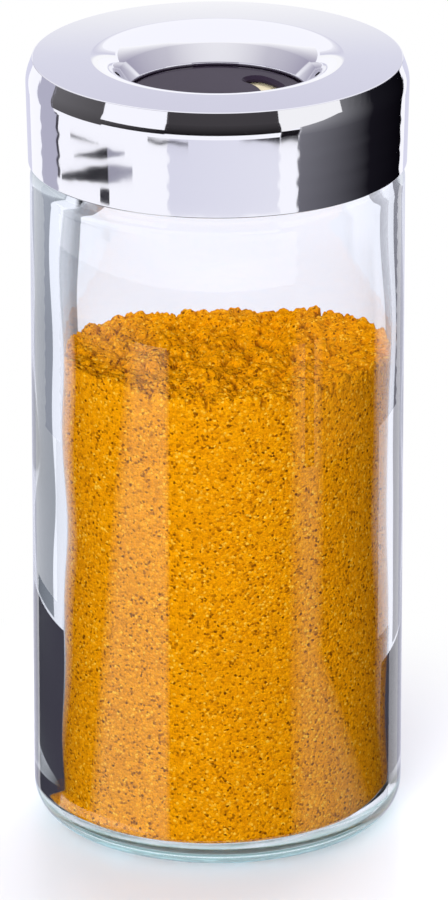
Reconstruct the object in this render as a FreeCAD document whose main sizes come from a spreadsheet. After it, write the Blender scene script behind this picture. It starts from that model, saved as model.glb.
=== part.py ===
"""Glass spice jar with a chromed twist-dial shaker cap, as one parametric document.

The axis of the jar is Z, the origin is the middle of its footprint, and all lengths are millimetres.
The stop lug of the dial plate points along -X when the dial is closed.
"""
import FreeCAD
import Part
import Sketcher
import os

# Driving sizes: every value here can be set by itself.
SIZES = {
    # glass jar
    "jar_radius": 25.0,
    "jar_wall": 3.0,
    "base_thickness": 2.7,
    "push_up_height": 1.0,
    "rest_ring_width": 3.4,
    "heel_radius": 4.6,
    "inner_heel_radius": 3.0,
    "shoulder_height": 93.3,
    "shoulder_round": 3.0,
    "inner_shoulder_drop": 1.8,
    "inner_shoulder_rise": 2.2,
    "inner_shoulder_round": 2.0,
    "neck_step": 4.0,
    "neck_wall": 3.0,
    "neck_height": 4.5,
    "neck_root_round": 0.6,
    "lip_round": 0.9,
    # spice
    "fill_level": 65.5,
    "fill_lean_angle": 3.7,
    "fill_bank": 2.0,
    "fill_flat_half": 7.0,
    "fill_clearance": 0.25,
    "mound_count": 19,
    "mound_radius": 5.0,
    "mound_cut_angle": 20.0,
    "mound_margin": 1.2,
    "mound_height": 1.1,
    "mound_vary": 0.4,
    "mound_vary_angle": 97.0,
    "mound_turn_angle": 137.5,
    # sealing ring
    "gasket_thickness": 1.0,
    "gasket_margin": 0.3,
    # screw collar with its sifter deck
    "deck_thickness": 2.05,
    "collar_wall": 1.0,
    "thread_gap": 1.2,
    "collar_lift": 0.4,
    "flange_depth": 3.8,
    "plug_wall": 1.1,
    "plug_depth": 2.0,
    "plug_clearance": 0.5,
    "sprinkle_web": 0.68,
    "sprinkle_hole_count": 4,
    "sprinkle_spread": 45.0,
    "station_angle": 100.0,
    # chromed ring
    "ring_overhang": 0.55,
    "ring_draft": 0.3,
    "ring_wall": 1.15,
    "ring_height": 14.3,
    "ring_shoulder_gap": 0.6,
    "ring_top_wall": 1.3,
    "edge_height": 2.5,
    "edge_inset": 0.9,
    "edge_blend": 5.0,
    "edge_round": 0.25,
    "crown_width": 11.2,
    "lip_roll": 4.2,
    "funnel_width": 2.45,
    "throat_land": 0.7,
    "throat_foot": 1.6,
    "funnel_wall": 1.2,
    "snap_rib_height": 1.2,
    "pin_radius": 0.8,
    "pin_offset": 2.6,
    "pin_root": 3.2,
    "pin_count": 4,
    # dial plate
    "plate_thickness": 0.5,
    "plate_margin": 1.5,
    "pad_height": 0.3,
    "pad_round": 0.15,
    "slot_heading": 24.0,
    "slot_inset": 4.3,
    "slot_half_width": 1.4,
    "slot_half_angle": 24.0,
    "slot_bevel": 0.45,
    "lug_inset": 1.0,
    "lug_radius": 1.0,
    "lug_length": 0.8,
    # fits
    "running_gap": 0.3,
    "pin_clearance": 0.15,
    "groove_floor": 0.35,
    "cut_overrun": 1.0,
}

# Fits: places worked out from the driving sizes, from the foot of the jar upwards.
FITS = {
    "axis": "0",
    "ground": "0",
    # glass jar
    "inner_radius": "jar_radius - jar_wall",
    "neck_radius": "jar_radius - neck_step",
    "mouth_radius": "neck_radius - neck_wall",
    "push_up_radius": "jar_radius - heel_radius - rest_ring_width",
    "lip_height": "shoulder_height + neck_height",
    "inner_shoulder_low": "shoulder_height - inner_shoulder_drop",
    "inner_shoulder_high": "shoulder_height - inner_shoulder_drop + inner_shoulder_rise",
    # spice
    "fill_radius": "inner_radius - fill_clearance",
    "fill_heel_round": "inner_heel_radius + fill_clearance",
    "bank_outer": "fill_radius + cut_overrun",
    "bank_outer_left": "-bank_outer",
    "bank_flat_left": "-fill_flat_half",
    "bank_slope": "fill_bank / (bank_outer - fill_flat_half)",
    "bank_level": "fill_level + fill_bank",
    "fill_top": "bank_level + bank_outer * tan(fill_lean_angle) + cut_overrun",
    "fill_cut_top": "fill_top + cut_overrun + bank_outer * tan(fill_lean_angle)",
    "fill_cut_length": "2 * bank_outer + 2 * fill_cut_top * tan(fill_lean_angle)",
    "fill_lean_turn": "360 - fill_lean_angle",
    "mound_spread": "fill_radius - mound_radius - mound_margin",
    # sealing ring
    "gasket_inner": "mouth_radius + gasket_margin",
    "gasket_outer": "neck_radius - gasket_margin",
    "deck_bottom": "lip_height + gasket_thickness",
    # skirt of the chromed ring, which the collar runs in
    "ring_radius": "jar_radius + ring_overhang",
    "skirt_radius": "ring_radius - ring_draft",
    "skirt_inner": "ring_radius - ring_wall",
    "skirt_inset": "skirt_inner - jar_radius + shoulder_round",
    "shoulder_at_skirt": "sqrt(max(0; shoulder_round ^ 2 - skirt_inset ^ 2))",
    "skirt_bottom": "shoulder_height - shoulder_round + shoulder_at_skirt + ring_shoulder_gap",
    # crown and throat of the chromed ring
    "lip_radius": "ring_radius - crown_width",
    "throat_radius": "lip_radius - funnel_width",
    # screw collar
    "collar_inner": "neck_radius + thread_gap",
    "collar_outer": "collar_inner + collar_wall",
    "flange_radius": "skirt_inner - running_gap",
    "deck_top": "deck_bottom + deck_thickness",
    "flange_bottom": "deck_top - flange_depth",
    "collar_bottom": "shoulder_height + collar_lift",
    "plug_outer": "mouth_radius - plug_clearance",
    "plug_inner": "plug_outer - plug_wall",
    "plug_bottom": "deck_bottom - plug_depth",
    "deck_cut_start": "deck_top + cut_overrun",
    "deck_cut_end": "deck_bottom - cut_overrun",
    "deck_cut_depth": "deck_thickness + 2 * cut_overrun",
    "slot_circle": "throat_radius - slot_inset",
    "lug_circle": "throat_radius - lug_inset",
    "groove_bottom": "deck_bottom + groove_floor",
    "groove_depth": "deck_cut_start - groove_bottom",
    "groove_inner": "lug_circle - lug_radius - running_gap",
    "groove_outer": "lug_circle + lug_radius + running_gap",
    "groove_end_radius": "lug_radius + running_gap",
    "groove_sweep": "2 * station_angle",
    "groove_end_x": "-lug_circle * cos(station_angle)",
    "groove_end_y": "lug_circle * sin(station_angle)",
    "groove_end_back_y": "-lug_circle * sin(station_angle)",
    "sprinkle_first": "slot_heading + station_angle - sprinkle_spread / 2",
    "sprinkle_step": "sprinkle_spread / (sprinkle_hole_count - 1)",
    "sprinkle_pitch": "2 * slot_circle * sin(sprinkle_step / 2)",
    "sprinkle_hole_radius": "(sprinkle_pitch - sprinkle_web) / 2",
    "sprinkle_x": "slot_circle * cos(sprinkle_first)",
    "sprinkle_y": "slot_circle * sin(sprinkle_first)",
    "pour_turn": "360 + slot_heading - station_angle",
    "pour_near_angle": "pour_turn - slot_half_angle",
    "pour_far_angle": "pour_turn + slot_half_angle",
    "pour_near_x": "slot_circle * cos(pour_near_angle)",
    "pour_near_y": "slot_circle * sin(pour_near_angle)",
    "pour_far_x": "slot_circle * cos(pour_far_angle)",
    "pour_far_y": "slot_circle * sin(pour_far_angle)",
    "stop_turn": "180",
    # dial plate
    "plate_bottom": "deck_top + running_gap",
    "plate_top": "plate_bottom + plate_thickness",
    "pad_radius": "throat_radius - running_gap",
    "pad_top": "plate_top + pad_height",
    "plate_cut_start": "pad_top + cut_overrun",
    "plate_cut_end": "plate_bottom - cut_overrun",
    "plate_cut_depth": "plate_thickness + pad_height + 2 * cut_overrun",
    "pin_circle": "throat_radius + pin_offset",
    "plate_radius": "pin_circle + plate_margin",
    "pin_hole_radius": "pin_radius + pin_clearance",
    "slot_inner": "slot_circle - slot_half_width",
    "slot_outer": "slot_circle + slot_half_width",
    "slot_sweep": "2 * slot_half_angle",
    "slot_near_angle": "slot_heading - slot_half_angle",
    "slot_far_angle": "slot_heading + slot_half_angle",
    "slot_near_x": "slot_circle * cos(slot_near_angle)",
    "slot_near_y": "slot_circle * sin(slot_near_angle)",
    "slot_far_x": "slot_circle * cos(slot_far_angle)",
    "slot_far_y": "slot_circle * sin(slot_far_angle)",
    "lug_x": "-lug_circle",
    # crown and funnel of the chromed ring
    "ring_top": "skirt_bottom + ring_height",
    "edge_bottom": "ring_top - edge_height",
    "edge_radius": "ring_radius - edge_inset",
    "throat_top": "plate_top + throat_land",
    "foot_radius": "throat_radius + throat_foot",
    "roof_height": "ring_top - ring_top_wall",
    "roof_inner_radius": "lip_radius + funnel_wall",
    "rib_inner": "collar_outer + running_gap",
    "rib_top": "flange_bottom - running_gap",
    "rib_bottom": "rib_top - snap_rib_height",
    "pin_length": "plate_thickness + pin_root",
}

# Places of the mounds on the heap, wound outwards like the seeds of a sunflower.
for number in range(1, SIZES["mound_count"] + 1):
    mound = "mound_%d_" % number
    FITS.update({
        mound + "out": "mound_spread * sqrt((%d - 0.5) / mound_count)" % number,
        mound + "x": "%sout * cos(%d * mound_turn_angle)" % (mound, number),
        mound + "y": "%sout * sin(%d * mound_turn_angle)" % (mound, number),
        mound + "bank": "bank_slope * max(0; abs(%sx) - fill_flat_half)" % mound,
        mound + "top": "mound_height + mound_vary * sin(%d * mound_vary_angle)" % number,
        mound + "lean": "%sy * tan(fill_lean_angle)" % mound,
        mound + "z": "fill_level + %sbank - %slean + %stop - mound_radius" % ((mound,) * 3),
    })

TOLERANCE = 1e-4
FULL_TURN_ANGLE = 360.0

# The numbers that a sketch gives to the points of a line or a circle.
START, END, CENTRE = range(1, 4)

doc = FreeCAD.newDocument("spice_jar")


def make_sheet(label, cells):
    """Writes one column of named cells and returns the sheet."""
    sheet = doc.addObject("Spreadsheet::Sheet", label)
    for row, (alias, content) in enumerate(cells.items(), start=1):
        sheet.set("A%d" % row, str(content))
        sheet.setAlias("A%d" % row, alias)
    return sheet


def fit_formula(formula):
    """Turns a sum of size names into a cell formula that reads the sizes sheet."""
    words = formula.replace("(", "( ").replace(")", " )").split(" ")
    linked = []
    for word in words:
        sign = "-" if word.startswith("-") and len(word) > 1 else ""
        name = word[len(sign):]
        linked.append(sign + ("sizes." + name if name in SIZES else name))
    return "=" + " ".join(linked)


sizes = make_sheet("sizes", SIZES)
doc.recompute()
fits = make_sheet("fits", {alias: fit_formula(formula) for alias, formula in FITS.items()})
doc.recompute()


def value(alias):
    """The present number in a named cell of either sheet."""
    sheet = sizes if alias in SIZES else fits
    return float(sheet.get(alias))


def link(alias):
    """The expression that reads a named cell."""
    return ("sizes." if alias in SIZES else "fits.") + alias


def origin_part(body, role):
    """One of a body's own origin planes or axes."""
    return next(item for item in body.Origin.OriginFeatures if item.Role == role)


def new_body(name):
    """An empty body whose label names its node."""
    body = doc.addObject("PartDesign::Body", name)
    body.Label = name
    return body


def new_sketch(body, name, role, height=None, turn=None, lean=None):
    """A sketch on one of the body's origin planes, raised, turned about the axis or leaning about X."""
    sketch = body.newObject("Sketcher::SketchObject", name)
    sketch.AttachmentSupport = (origin_part(body, role), "")
    sketch.MapMode = "FlatFace"
    if height:
        sketch.setExpression("AttachmentOffset.Base.z", link(height))
    if turn:
        tip_sketch(sketch, FreeCAD.Vector(0, 1, 0), turn)
    if lean:
        tip_sketch(sketch, FreeCAD.Vector(1, 0, 0), lean)
    return sketch


def tip_sketch(sketch, axis, angle):
    """Turns a sketch's plane about one of its own axes by a cell's angle."""
    sketch.AttachmentOffset = FreeCAD.Placement(FreeCAD.Vector(), FreeCAD.Rotation(axis, value(angle)))
    sketch.setExpression("AttachmentOffset.Rotation.Angle", link(angle))


def bind_point(sketch, geometry, position, across, up):
    """Ties a sketch point to two cells, measured from the sketch's origin, its point 1 of geometry -1."""
    for kind, alias in (("DistanceX", across), ("DistanceY", up)):
        index = sketch.addConstraint(
            Sketcher.Constraint(kind, -1, 1, geometry, position, value(alias))
        )
        sketch.setExpression("Constraints[%d]" % index, link(alias))


def draw_outline(sketch, corners):
    """A closed outline of straight sides through corners given as pairs of cell names."""
    points = [FreeCAD.Vector(value(across), value(up), 0) for across, up in corners]
    count = len(points)
    for number in range(count):
        sketch.addGeometry(Part.LineSegment(points[number], points[(number + 1) % count]), False)
    for number in range(count):
        following = (number + 1) % count
        sketch.addConstraint(Sketcher.Constraint("Coincident", number, END, following, START))
    for number, (across, up) in enumerate(corners):
        bind_point(sketch, number, START, across, up)


def draw_circle(sketch, across, up, radius):
    """A circle whose centre and radius are cell names."""
    centre = FreeCAD.Vector(value(across), value(up), 0)
    number = sketch.addGeometry(Part.Circle(centre, FreeCAD.Vector(0, 0, 1), value(radius)), False)
    bind_point(sketch, number, CENTRE, across, up)
    index = sketch.addConstraint(Sketcher.Constraint("Radius", number, value(radius)))
    sketch.setExpression("Constraints[%d]" % index, link(radius))


def revolve(body, name, corners):
    """Turns an outline of radius and height pairs once round the axis."""
    sketch = new_sketch(body, name + "_outline", "XZ_Plane")
    draw_outline(sketch, corners)
    turned = body.newObject("PartDesign::Revolution", name)
    turned.Profile = sketch
    turned.ReferenceAxis = (sketch, ["V_Axis"])
    turned.Angle = FULL_TURN_ANGLE
    doc.recompute()
    return turned


def find_rims(base, name, rims):
    """Names the circular edges of a feature at the given radius and height pairs."""
    picked = []
    for number, edge in enumerate(base.Shape.Edges, start=1):
        if not isinstance(edge.Curve, Part.Circle):
            continue
        circle = edge.Curve
        for across, up in rims:
            same_radius = abs(circle.Radius - value(across)) < TOLERANCE
            same_height = abs(circle.Center.z - value(up)) < TOLERANCE
            if same_radius and same_height:
                picked.append("Edge%d" % number)
    if len(picked) < len(rims):
        raise RuntimeError("%s found %d of %d rims" % (name, len(picked), len(rims)))
    return picked


def round_rims(body, name, radius, rims):
    """Rounds the circular edges at the given radius and height pairs."""
    base = body.Tip
    rounded = body.newObject("PartDesign::Fillet", name)
    rounded.Base = (base, find_rims(base, name, rims))
    rounded.setExpression("Radius", link(radius))
    doc.recompute()


def bevel_rims(body, name, size, rims):
    """Bevels the circular edges at the given radius and height pairs."""
    base = body.Tip
    bevelled = body.newObject("PartDesign::Chamfer", name)
    bevelled.Base = (base, find_rims(base, name, rims))
    bevelled.setExpression("Size", link(size))
    doc.recompute()


def cut_arc(body, name, corners, sweep, turn):
    """Cuts an outline of radius and height pairs along an arc about the axis, centred on a turn."""
    before = body.Shape.Volume
    sketch = new_sketch(body, name + "_outline", "XZ_Plane", turn=turn)
    draw_outline(sketch, corners)
    groove = body.newObject("PartDesign::Groove", name)
    groove.Profile = sketch
    groove.ReferenceAxis = (sketch, ["V_Axis"])
    groove.Midplane = True
    groove.setExpression("Angle", link(sweep))
    doc.recompute()
    require_less(body, before, name)


def cut_holes(body, name, height, depth, circles):
    """Cuts round holes downwards from a height, each given as centre and radius cell names."""
    before = body.Shape.Volume
    sketch = new_sketch(body, name + "_outline", "XY_Plane", height=height)
    for across, up, radius in circles:
        draw_circle(sketch, across, up, radius)
    pocket = body.newObject("PartDesign::Pocket", name)
    pocket.Profile = sketch
    pocket.setExpression("Length", link(depth))
    doc.recompute()
    require_less(body, before, name)
    return pocket


def cut_along(body, name, corners, length, lean):
    """Cuts an outline seen from the front right through, along a direction that leans from the level."""
    before = body.Shape.Volume
    sketch = new_sketch(body, name + "_outline", "XZ_Plane", lean=lean)
    draw_outline(sketch, corners)
    pocket = body.newObject("PartDesign::Pocket", name)
    pocket.Profile = sketch
    pocket.Midplane = True
    pocket.setExpression("Length", link(length))
    doc.recompute()
    require_less(body, before, name)


def raise_mound(body, name, radius, cut_angle):
    """Adds the upper part of a ball whose middle is in the cells of its own name."""
    mound = body.newObject("PartDesign::AdditiveSphere", name)
    mound.setExpression("Radius", link(radius))
    mound.setExpression("Angle1", link(cut_angle))
    for side in "xyz":
        mound.setExpression("Placement.Base." + side, link("%s_%s" % (name, side)))
    doc.recompute()


def raise_boss(body, name, height, length, circle, downwards):
    """Pads one round boss from a height."""
    sketch = new_sketch(body, name + "_outline", "XY_Plane", height=height)
    draw_circle(sketch, *circle)
    boss = body.newObject("PartDesign::Pad", name)
    boss.Profile = sketch
    boss.Reversed = downwards
    boss.setExpression("Length", link(length))
    doc.recompute()
    return boss


def repeat_round_axis(body, name, feature, sweep, count):
    """Repeats a feature about the axis; a sweep of None goes all the way round."""
    pattern = body.newObject("PartDesign::PolarPattern", name)
    pattern.Originals = [feature]
    pattern.Axis = (origin_part(body, "Z_Axis"), [""])
    if sweep:
        pattern.setExpression("Angle", link(sweep))
    else:
        pattern.Angle = FULL_TURN_ANGLE
    pattern.setExpression("Occurrences", link(count))
    body.Tip = pattern
    doc.recompute()


def require_less(body, before, name):
    """Stops if a cut took nothing away."""
    if body.Shape.Volume > before - TOLERANCE:
        raise RuntimeError(name + " cut nothing")


def make_glass_jar():
    """Pressed glass jar: rounded heel, pushed-up base, short neck under the cap."""
    body = new_body("glass_jar")
    revolve(body, "jar_turning", [
        ("axis", "push_up_height"),
        ("push_up_radius", "ground"),
        ("jar_radius", "ground"),
        ("jar_radius", "shoulder_height"),
        ("neck_radius", "shoulder_height"),
        ("neck_radius", "lip_height"),
        ("mouth_radius", "lip_height"),
        ("mouth_radius", "inner_shoulder_high"),
        ("inner_radius", "inner_shoulder_low"),
        ("inner_radius", "base_thickness"),
        ("axis", "base_thickness"),
    ])
    round_rims(body, "heel", "heel_radius", [("jar_radius", "ground")])
    round_rims(body, "shoulder", "shoulder_round", [("jar_radius", "shoulder_height")])
    round_rims(body, "neck_root", "neck_root_round", [("neck_radius", "shoulder_height")])
    round_rims(body, "lip", "lip_round", [
        ("neck_radius", "lip_height"),
        ("mouth_radius", "lip_height"),
    ])
    round_rims(body, "inner_heel", "inner_heel_radius", [("inner_radius", "base_thickness")])
    round_rims(body, "inner_shoulder", "inner_shoulder_round", [
        ("inner_radius", "inner_shoulder_low"),
    ])
    return body


def make_spice_fill():
    """Heap of ground spice, a little clear of the glass: banked sides, higher in front, with mounds."""
    body = new_body("spice_fill")
    revolve(body, "fill_turning", [
        ("axis", "base_thickness"),
        ("fill_radius", "base_thickness"),
        ("fill_radius", "fill_top"),
        ("axis", "fill_top"),
    ])
    round_rims(body, "fill_heel", "fill_heel_round", [("fill_radius", "base_thickness")])
    cut_along(body, "heap_top", [
        ("bank_outer_left", "bank_level"),
        ("bank_flat_left", "fill_level"),
        ("fill_flat_half", "fill_level"),
        ("bank_outer", "bank_level"),
        ("bank_outer", "fill_cut_top"),
        ("bank_outer_left", "fill_cut_top"),
    ], "fill_cut_length", "fill_lean_turn")
    for number in range(1, SIZES["mound_count"] + 1):
        raise_mound(body, "mound_%d" % number, "mound_radius", "mound_cut_angle")
    return body


def make_rim_gasket():
    """Flat sealing ring that lies on the lip of the neck."""
    body = new_body("rim_gasket")
    revolve(body, "gasket_turning", [
        ("gasket_inner", "lip_height"),
        ("gasket_outer", "lip_height"),
        ("gasket_outer", "deck_bottom"),
        ("gasket_inner", "deck_bottom"),
    ])
    return body


def make_screw_collar():
    """Threaded collar and sifter deck: a blank, sprinkle holes and a pour opening."""
    body = new_body("screw_collar")
    revolve(body, "collar_turning", [
        ("axis", "deck_bottom"),
        ("plug_inner", "deck_bottom"),
        ("plug_inner", "plug_bottom"),
        ("plug_outer", "plug_bottom"),
        ("plug_outer", "deck_bottom"),
        ("collar_inner", "deck_bottom"),
        ("collar_inner", "collar_bottom"),
        ("collar_outer", "collar_bottom"),
        ("collar_outer", "flange_bottom"),
        ("flange_radius", "flange_bottom"),
        ("flange_radius", "deck_top"),
        ("axis", "deck_top"),
    ])
    cut_arc(body, "pour_opening", [
        ("slot_inner", "deck_cut_end"),
        ("slot_outer", "deck_cut_end"),
        ("slot_outer", "deck_cut_start"),
        ("slot_inner", "deck_cut_start"),
    ], "slot_sweep", "pour_turn")
    cut_holes(body, "pour_ends", "deck_cut_start", "deck_cut_depth", [
        ("pour_near_x", "pour_near_y", "slot_half_width"),
        ("pour_far_x", "pour_far_y", "slot_half_width"),
    ])
    hole = cut_holes(body, "sprinkle_hole", "deck_cut_start", "deck_cut_depth", [
        ("sprinkle_x", "sprinkle_y", "sprinkle_hole_radius"),
    ])
    repeat_round_axis(body, "sprinkle_holes", hole, "sprinkle_spread", "sprinkle_hole_count")
    cut_arc(body, "stop_groove", [
        ("groove_inner", "groove_bottom"),
        ("groove_outer", "groove_bottom"),
        ("groove_outer", "deck_cut_start"),
        ("groove_inner", "deck_cut_start"),
    ], "groove_sweep", "stop_turn")
    cut_holes(body, "stop_groove_ends", "deck_cut_start", "groove_depth", [
        ("groove_end_x", "groove_end_y", "groove_end_radius"),
        ("groove_end_x", "groove_end_back_y", "groove_end_radius"),
    ])
    return body


def make_dial_plate():
    """Dial plate with its bevelled kidney slot, stop lug and pin holes, held under the throat."""
    body = new_body("dial_plate")
    revolve(body, "plate_turning", [
        ("axis", "plate_bottom"),
        ("plate_radius", "plate_bottom"),
        ("plate_radius", "plate_top"),
        ("pad_radius", "plate_top"),
        ("pad_radius", "pad_top"),
        ("axis", "pad_top"),
    ])
    round_rims(body, "pad_edge", "pad_round", [("pad_radius", "pad_top")])
    cut_arc(body, "dosing_slot", [
        ("slot_inner", "plate_cut_end"),
        ("slot_outer", "plate_cut_end"),
        ("slot_outer", "plate_cut_start"),
        ("slot_inner", "plate_cut_start"),
    ], "slot_sweep", "slot_heading")
    cut_holes(body, "dosing_slot_ends", "plate_cut_start", "plate_cut_depth", [
        ("slot_near_x", "slot_near_y", "slot_half_width"),
        ("slot_far_x", "slot_far_y", "slot_half_width"),
    ])
    bevel_rims(body, "dosing_slot_bevel", "slot_bevel", [
        ("slot_inner", "pad_top"),
        ("slot_outer", "pad_top"),
        ("slot_half_width", "pad_top"),
    ])
    hole = cut_holes(body, "pin_hole", "plate_cut_start", "plate_cut_depth", [
        ("axis", "pin_circle", "pin_hole_radius"),
    ])
    repeat_round_axis(body, "pin_holes", hole, None, "pin_count")
    raise_boss(body, "stop_lug", "plate_bottom", "lug_length", ("lug_x", "axis", "lug_radius"), True)
    return body


def make_chrome_ring():
    """Chromed ring: drafted skirt with a snap rib, leaning edge, flat top and a funnel down to the dial."""
    body = new_body("chrome_ring")
    revolve(body, "ring_turning", [
        ("skirt_inner", "skirt_bottom"),
        ("skirt_radius", "skirt_bottom"),
        ("ring_radius", "edge_bottom"),
        ("edge_radius", "ring_top"),
        ("lip_radius", "ring_top"),
        ("throat_radius", "throat_top"),
        ("throat_radius", "plate_top"),
        ("foot_radius", "plate_top"),
        ("roof_inner_radius", "roof_height"),
        ("skirt_inner", "roof_height"),
        ("skirt_inner", "rib_top"),
        ("rib_inner", "rib_top"),
        ("rib_inner", "rib_bottom"),
        ("skirt_inner", "rib_bottom"),
    ])
    round_rims(body, "funnel_lip", "lip_roll", [("lip_radius", "ring_top")])
    round_rims(body, "edge_foot", "edge_blend", [("ring_radius", "edge_bottom")])
    round_rims(body, "edge_rim", "edge_round", [("edge_radius", "ring_top")])
    pin = raise_boss(body, "pin", "plate_bottom", "pin_length", ("axis", "pin_circle", "pin_radius"), False)
    repeat_round_axis(body, "pins", pin, None, "pin_count")
    return body


def check_document():
    """Stops on any object that failed to compute."""
    doc.recompute()
    for item in doc.Objects:
        if "Invalid" in item.State or "Error" in item.State:
            raise RuntimeError(item.Name + " is " + ", ".join(item.State))


def write_parts(bodies):
    """Checks every sub-part and writes it under its label."""
    for body in bodies:
        if body.Shape.isNull() or not body.Shape.isValid():
            raise RuntimeError(body.Label + " has no valid shape")
    os.makedirs("parts", exist_ok=True)
    for body in bodies:
        body.Shape.exportStep("parts/%s.step" % body.Label)
        print("%-14s %10.1f mm3 %d solid" % (body.Label, body.Shape.Volume, len(body.Shape.Solids)))


sub_parts = [
    make_glass_jar(),
    make_spice_fill(),
    make_rim_gasket(),
    make_screw_collar(),
    make_dial_plate(),
    make_chrome_ring(),
]
check_document()
write_parts(sub_parts)
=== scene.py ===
"""Studio scene of a glass spice jar with a chromed twist-dial shaker cap.

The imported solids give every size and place. Lengths here are metres, and the sizes that the solids don't
give are dataclass fields written in millimetres times MM. Azimuths of the studio are degrees about the
jar's axis: 0 is the side that the camera stands on and 90 is the right-hand side.
"""
import logging
import math
from dataclasses import dataclass
from enum import Enum

import bpy
import numpy as np
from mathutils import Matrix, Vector


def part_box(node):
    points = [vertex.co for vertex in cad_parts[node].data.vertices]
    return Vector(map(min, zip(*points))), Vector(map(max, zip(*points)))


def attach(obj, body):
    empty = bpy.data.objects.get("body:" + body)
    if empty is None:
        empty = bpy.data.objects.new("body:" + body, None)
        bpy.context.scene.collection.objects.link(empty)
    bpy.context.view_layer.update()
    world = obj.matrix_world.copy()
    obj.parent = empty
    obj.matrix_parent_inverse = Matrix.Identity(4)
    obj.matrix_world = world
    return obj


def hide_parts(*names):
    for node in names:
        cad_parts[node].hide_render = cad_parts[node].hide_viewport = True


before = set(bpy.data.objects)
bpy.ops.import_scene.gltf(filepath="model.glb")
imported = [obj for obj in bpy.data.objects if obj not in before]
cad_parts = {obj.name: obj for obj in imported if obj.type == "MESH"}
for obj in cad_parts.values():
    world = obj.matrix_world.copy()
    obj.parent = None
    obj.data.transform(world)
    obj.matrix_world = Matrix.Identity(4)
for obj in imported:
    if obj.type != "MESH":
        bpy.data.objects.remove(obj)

MM = 0.001
IMAGE_WIDTH_PX = 448
IMAGE_HEIGHT_PX = 900
LOG = logging.getLogger("spice_jar")

WHITE = "ffffff"
NEAR_BLACK = "101014"


class Rides(Enum):
    """The bodies that the new pieces ride on; the other solids ride on their own."""

    JAR = "jar"
    DIAL = "dial"


def linear(code: str) -> tuple[float, float, float, float]:
    """Turns an sRGB hex colour into linear red, green, blue and full alpha.

    Args:
        code: six hex digits, such as "e89608".

    Returns:
        The linear colour with alpha 1.
    """
    parts = np.array([int(code[i:i + 2], 16) for i in (0, 2, 4)]) / 255.0
    low = parts / 12.92
    high = ((parts + 0.055) / 1.055) ** 2.4
    red, green, blue = np.where(parts <= 0.04045, low, high)
    return float(red), float(green), float(blue), 1.0


def add_node(tree: bpy.types.NodeTree, kind: str, inputs: dict[str | int, object] | None = None,
             **settings: object) -> bpy.types.Node:
    """Adds one node, sets its properties and fills its inputs.

    Args:
        tree: the node tree that gets the node.
        kind: the node's type name.
        inputs: input name or number to a value, or to an output socket to link from.
        settings: properties of the node itself.

    Returns:
        The new node.
    """
    node = tree.nodes.new(kind)
    for name, setting in settings.items():
        setattr(node, name, setting)
    for key, content in (inputs or {}).items():
        if isinstance(content, bpy.types.NodeSocket):
            tree.links.new(content, node.inputs[key])
        else:
            node.inputs[key].default_value = content
    return node


def new_material(name: str) -> tuple[bpy.types.Material, bpy.types.NodeTree]:
    """Makes an empty node material.

    Args:
        name: the material's name.

    Returns:
        The material and its cleared node tree.
    """
    material = bpy.data.materials.new(name)
    material.use_nodes = True
    material.node_tree.nodes.clear()
    return material, material.node_tree


def per_metre(size_mm: float) -> float:
    """The texture scale whose features are about this many millimetres apart."""
    return 1.0 / (size_mm * MM)


# Shapes


# longest turn in radians between two points of a rounded corner, and its fewest points
ARC_STEP = 0.12
ARC_POINTS = 5
# share of a straight stretch within which a guard is worth its points
GUARD_LIMIT = 0.25


@dataclass(frozen=True)
class Corner:
    """One corner of a turned outline.

    Attributes:
        radius: distance from the axis.
        height: height above the ground.
        rounding: radius of the arc that replaces the corner.
    """

    radius: float
    height: float
    rounding: float = 0.0


def rounded_outline(corners: list[Corner], step: float, closed: bool, guard: float = 0.0) -> np.ndarray:
    """Samples an outline whose corners are replaced by tangent arcs.

    Each rounded corner gives way to an arc that touches both of its sides, at the rounding radius divided
    by the tangent of half the inner angle from the corner. Straight stretches are divided evenly into
    pieces no longer than the step, with one more point close to each end where a guard is given, so that
    smooth shading leaves them flat.

    Args:
        corners: the corners in order.
        step: the longest straight piece.
        closed: whether the last corner joins the first.
        guard: distance of the added points from the ends of a straight stretch, or zero for none.

    Returns:
        An array of radius and height pairs.
    """
    points = np.array([(corner.radius, corner.height) for corner in corners])
    count = len(corners)
    bends = []
    for number, corner in enumerate(corners):
        end = not closed and number in (0, count - 1)
        if corner.rounding <= 0.0 or end:
            bends.append(points[number][None, :])
            continue
        here = points[number]
        back = points[number - 1] - here
        ahead = points[(number + 1) % count] - here
        back = back / np.linalg.norm(back)
        ahead = ahead / np.linalg.norm(ahead)
        half = 0.5 * math.acos(float(np.clip(back @ ahead, -1.0, 1.0)))
        middle = (back + ahead) / np.linalg.norm(back + ahead)
        centre = here + middle * corner.rounding / math.sin(half)
        sweep = math.pi - 2.0 * half
        side = np.array([-middle[1], middle[0]])
        side = side if side @ back > 0.0 else -side
        turns = np.linspace(sweep / 2.0, -sweep / 2.0, max(ARC_POINTS, int(sweep / ARC_STEP)))[:, None]
        bends.append(centre + corner.rounding * (-middle * np.cos(turns) + side * np.sin(turns)))
    pieces = []
    for number in range(count if closed else count - 1):
        pieces.append(bends[number])
        start = bends[number][-1]
        goal = bends[(number + 1) % count][0]
        length = float(np.linalg.norm(goal - start))
        divisions = max(1, int(math.ceil(length / step)))
        shares = np.arange(1, divisions) / divisions
        if 0.0 < guard < GUARD_LIMIT * length:
            shares = np.unique(np.concatenate([[guard / length], shares, [1.0 - guard / length]]))
        pieces.append(start + (goal - start) * shares[:, None])
    if not closed:
        pieces.append(bends[-1])
    return np.concatenate(pieces)


def turn_outline(outline: np.ndarray, segments: int) -> np.ndarray:
    """Carries an outline round the axis: x is radius times cosine, y is radius times sine.

    Args:
        outline: radius and height pairs.
        segments: how many copies stand round the axis.

    Returns:
        A grid of points, outline by segment by coordinate.
    """
    angles = np.linspace(0.0, 2.0 * math.pi, segments, endpoint=False)
    radius = outline[:, :1]
    height = np.broadcast_to(outline[:, 1:], (len(outline), segments))
    return np.stack([radius * np.cos(angles), radius * np.sin(angles), height], axis=-1)


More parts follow.
